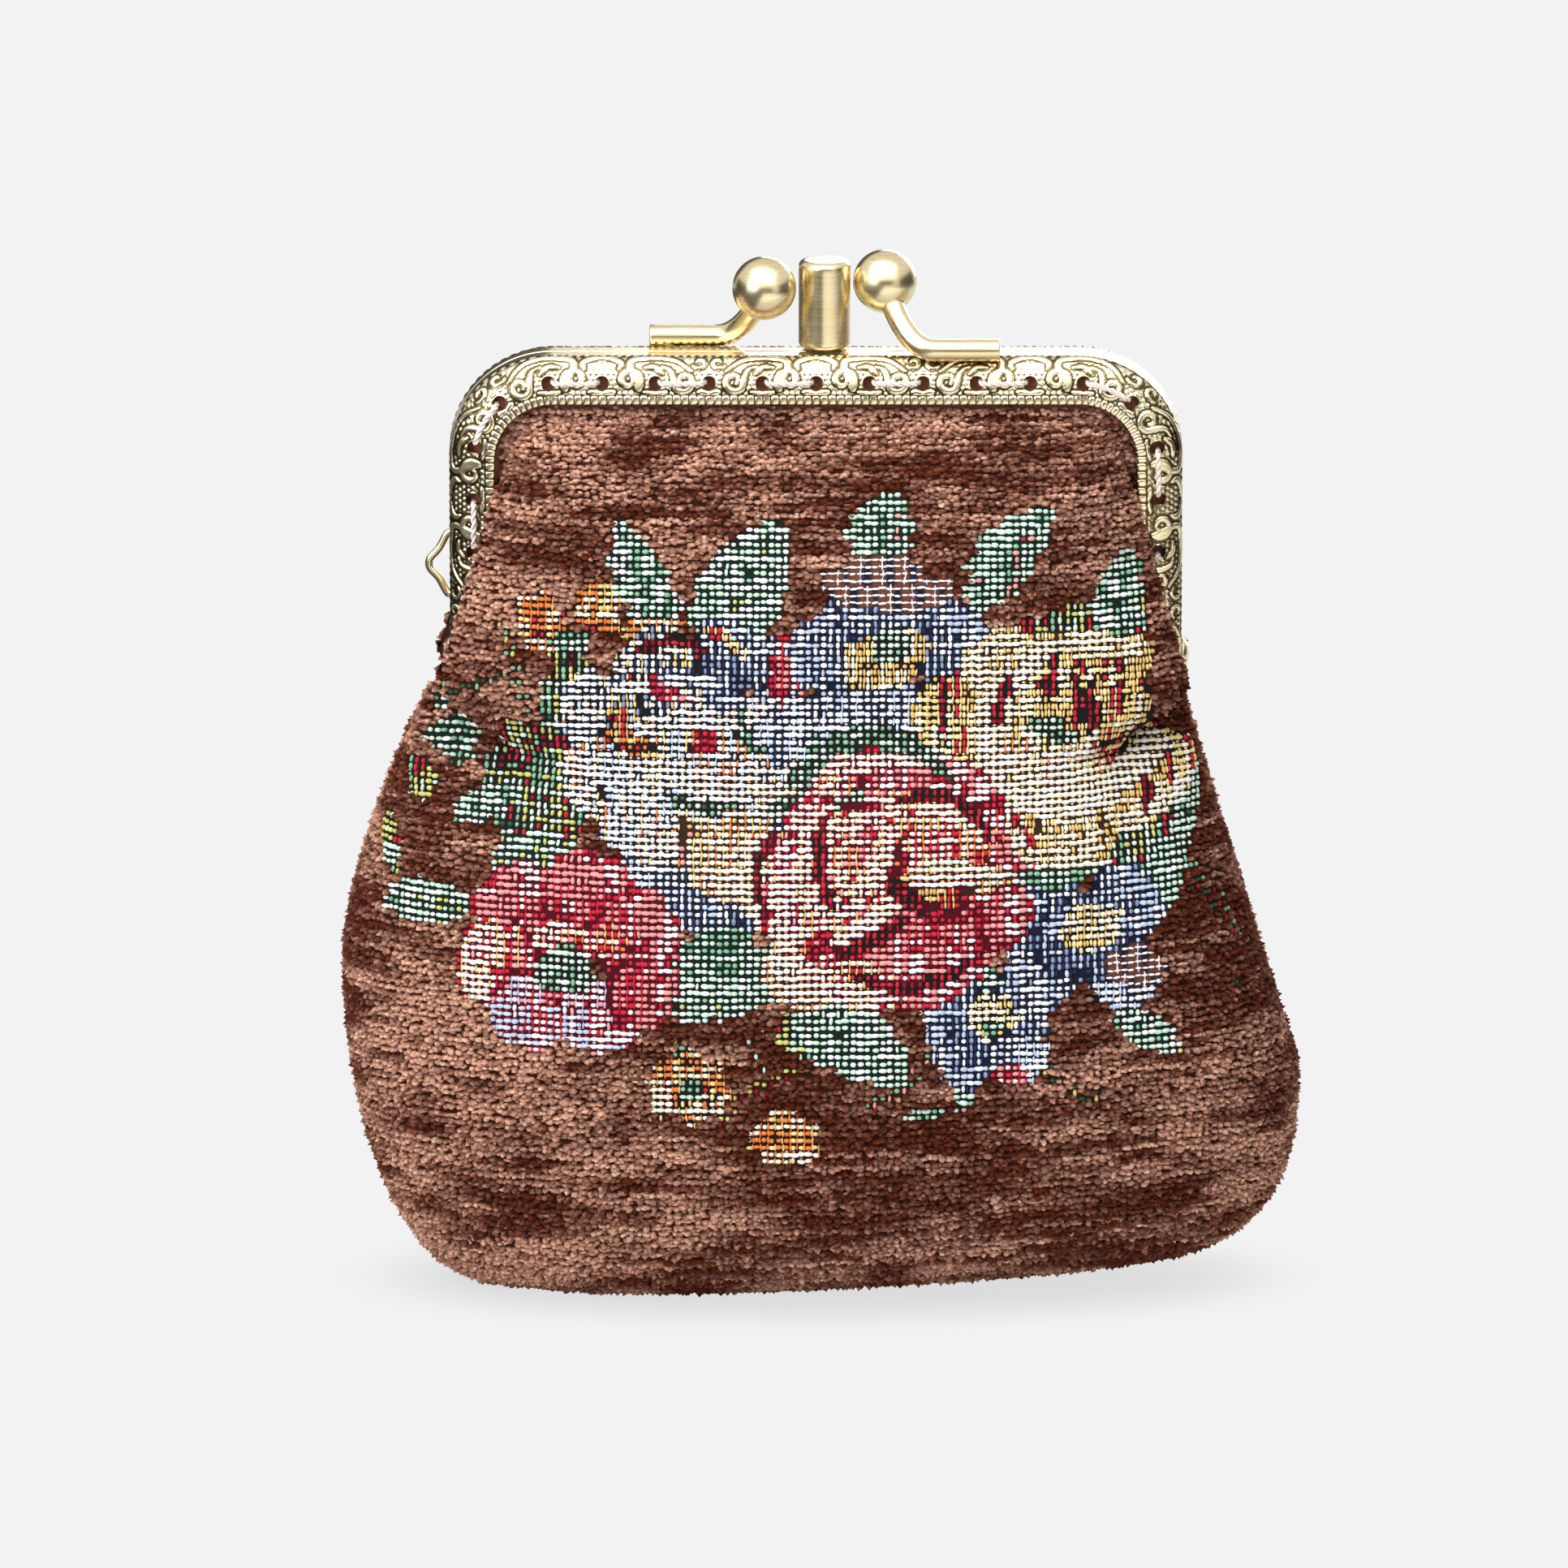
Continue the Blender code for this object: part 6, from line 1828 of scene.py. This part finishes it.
# lamp: place, aim, width and height, power
SOFT_BOXES = {
    "overhead_box": ((-0.04, -0.24, 0.56), (0.0, 0.0, 0.08), (0.8, 0.5), 3.5),
    "front_left_box": ((-0.56, -0.60, 0.42), (0.0, 0.0, 0.06), (0.5, 0.4), 3.8),
    "back_box": ((0.26, 0.78, 0.24), (0.0, 0.0, 0.06), (0.6, 0.4), 4.6),
}
for name, (place, aim, size, power) in SOFT_BOXES.items():
    lamp = bpy.data.lights.new(name, "AREA")
    lamp.shape = "RECTANGLE"
    lamp.size, lamp.size_y = size
    lamp.energy = power
    box = bpy.data.objects.new(name, lamp)
    box.location = place
    box.rotation_euler = (Vector(aim) - Vector(place)).to_track_quat("-Z", "Y").to_euler()
    box.visible_camera = False
    bpy.context.scene.collection.objects.link(box)

dark_card, tree, shader = start_material("dark_card")
feed(tree, shader, Base_Color=(0.07, 0.065, 0.06, 1.0), Roughness=0.9)
bright_card, tree, shader = start_material("bright_card")
tree.nodes.remove(shader)
shine = add_node(tree, "ShaderNodeEmission", Color=(1.0, 0.98, 0.94, 1.0), Strength=1.5)
feed(tree, tree.nodes["Material Output"], Surface=shine.outputs[0])

# card: material, centre, half its width, half its height
CARDS = {
    "front_card": (dark_card, (0.0, -0.95, 0.10), (0.55, 0.0, 0.0), (0.0, 0.0, 0.22)),
    "back_card": (dark_card, (0.0, 0.85, 0.30), (0.9, 0.0, 0.0), (0.0, 0.0, 0.40)),
    "left_card": (dark_card, (-0.95, 0.1, 0.14), (0.0, 0.55, 0.0), (0.0, 0.0, 0.24)),
    "right_card": (dark_card, (0.85, 0.0, 0.14), (0.0, 0.60, 0.0), (0.0, 0.0, 0.24)),
    "floor_card_left": (dark_card, (-0.50, -0.2, 0.001), (0.44, 0.0, 0.0), (0.0, 0.75, 0.0)),
    "floor_card_right": (dark_card, (0.69, -0.2, 0.001), (0.30, 0.0, 0.0), (0.0, 0.75, 0.0)),
    "floor_strip": (bright_card, (0.165, -0.55, 0.001), (0.225, 0.0, 0.0), (0.0, 0.40, 0.0)),
    "front_reflector": (bright_card, (0.0, -0.62, 0.52), (0.75, 0.0, 0.0), (0.0, 0.10, 0.14)),
}
for name, form in CARDS.items():
    card = flat_sheet(name, *form)
    card.visible_camera = False
    card.visible_diffuse = False
    card.visible_shadow = False
print(len(SOFT_BOXES), "lamps and", len(CARDS), "cards")
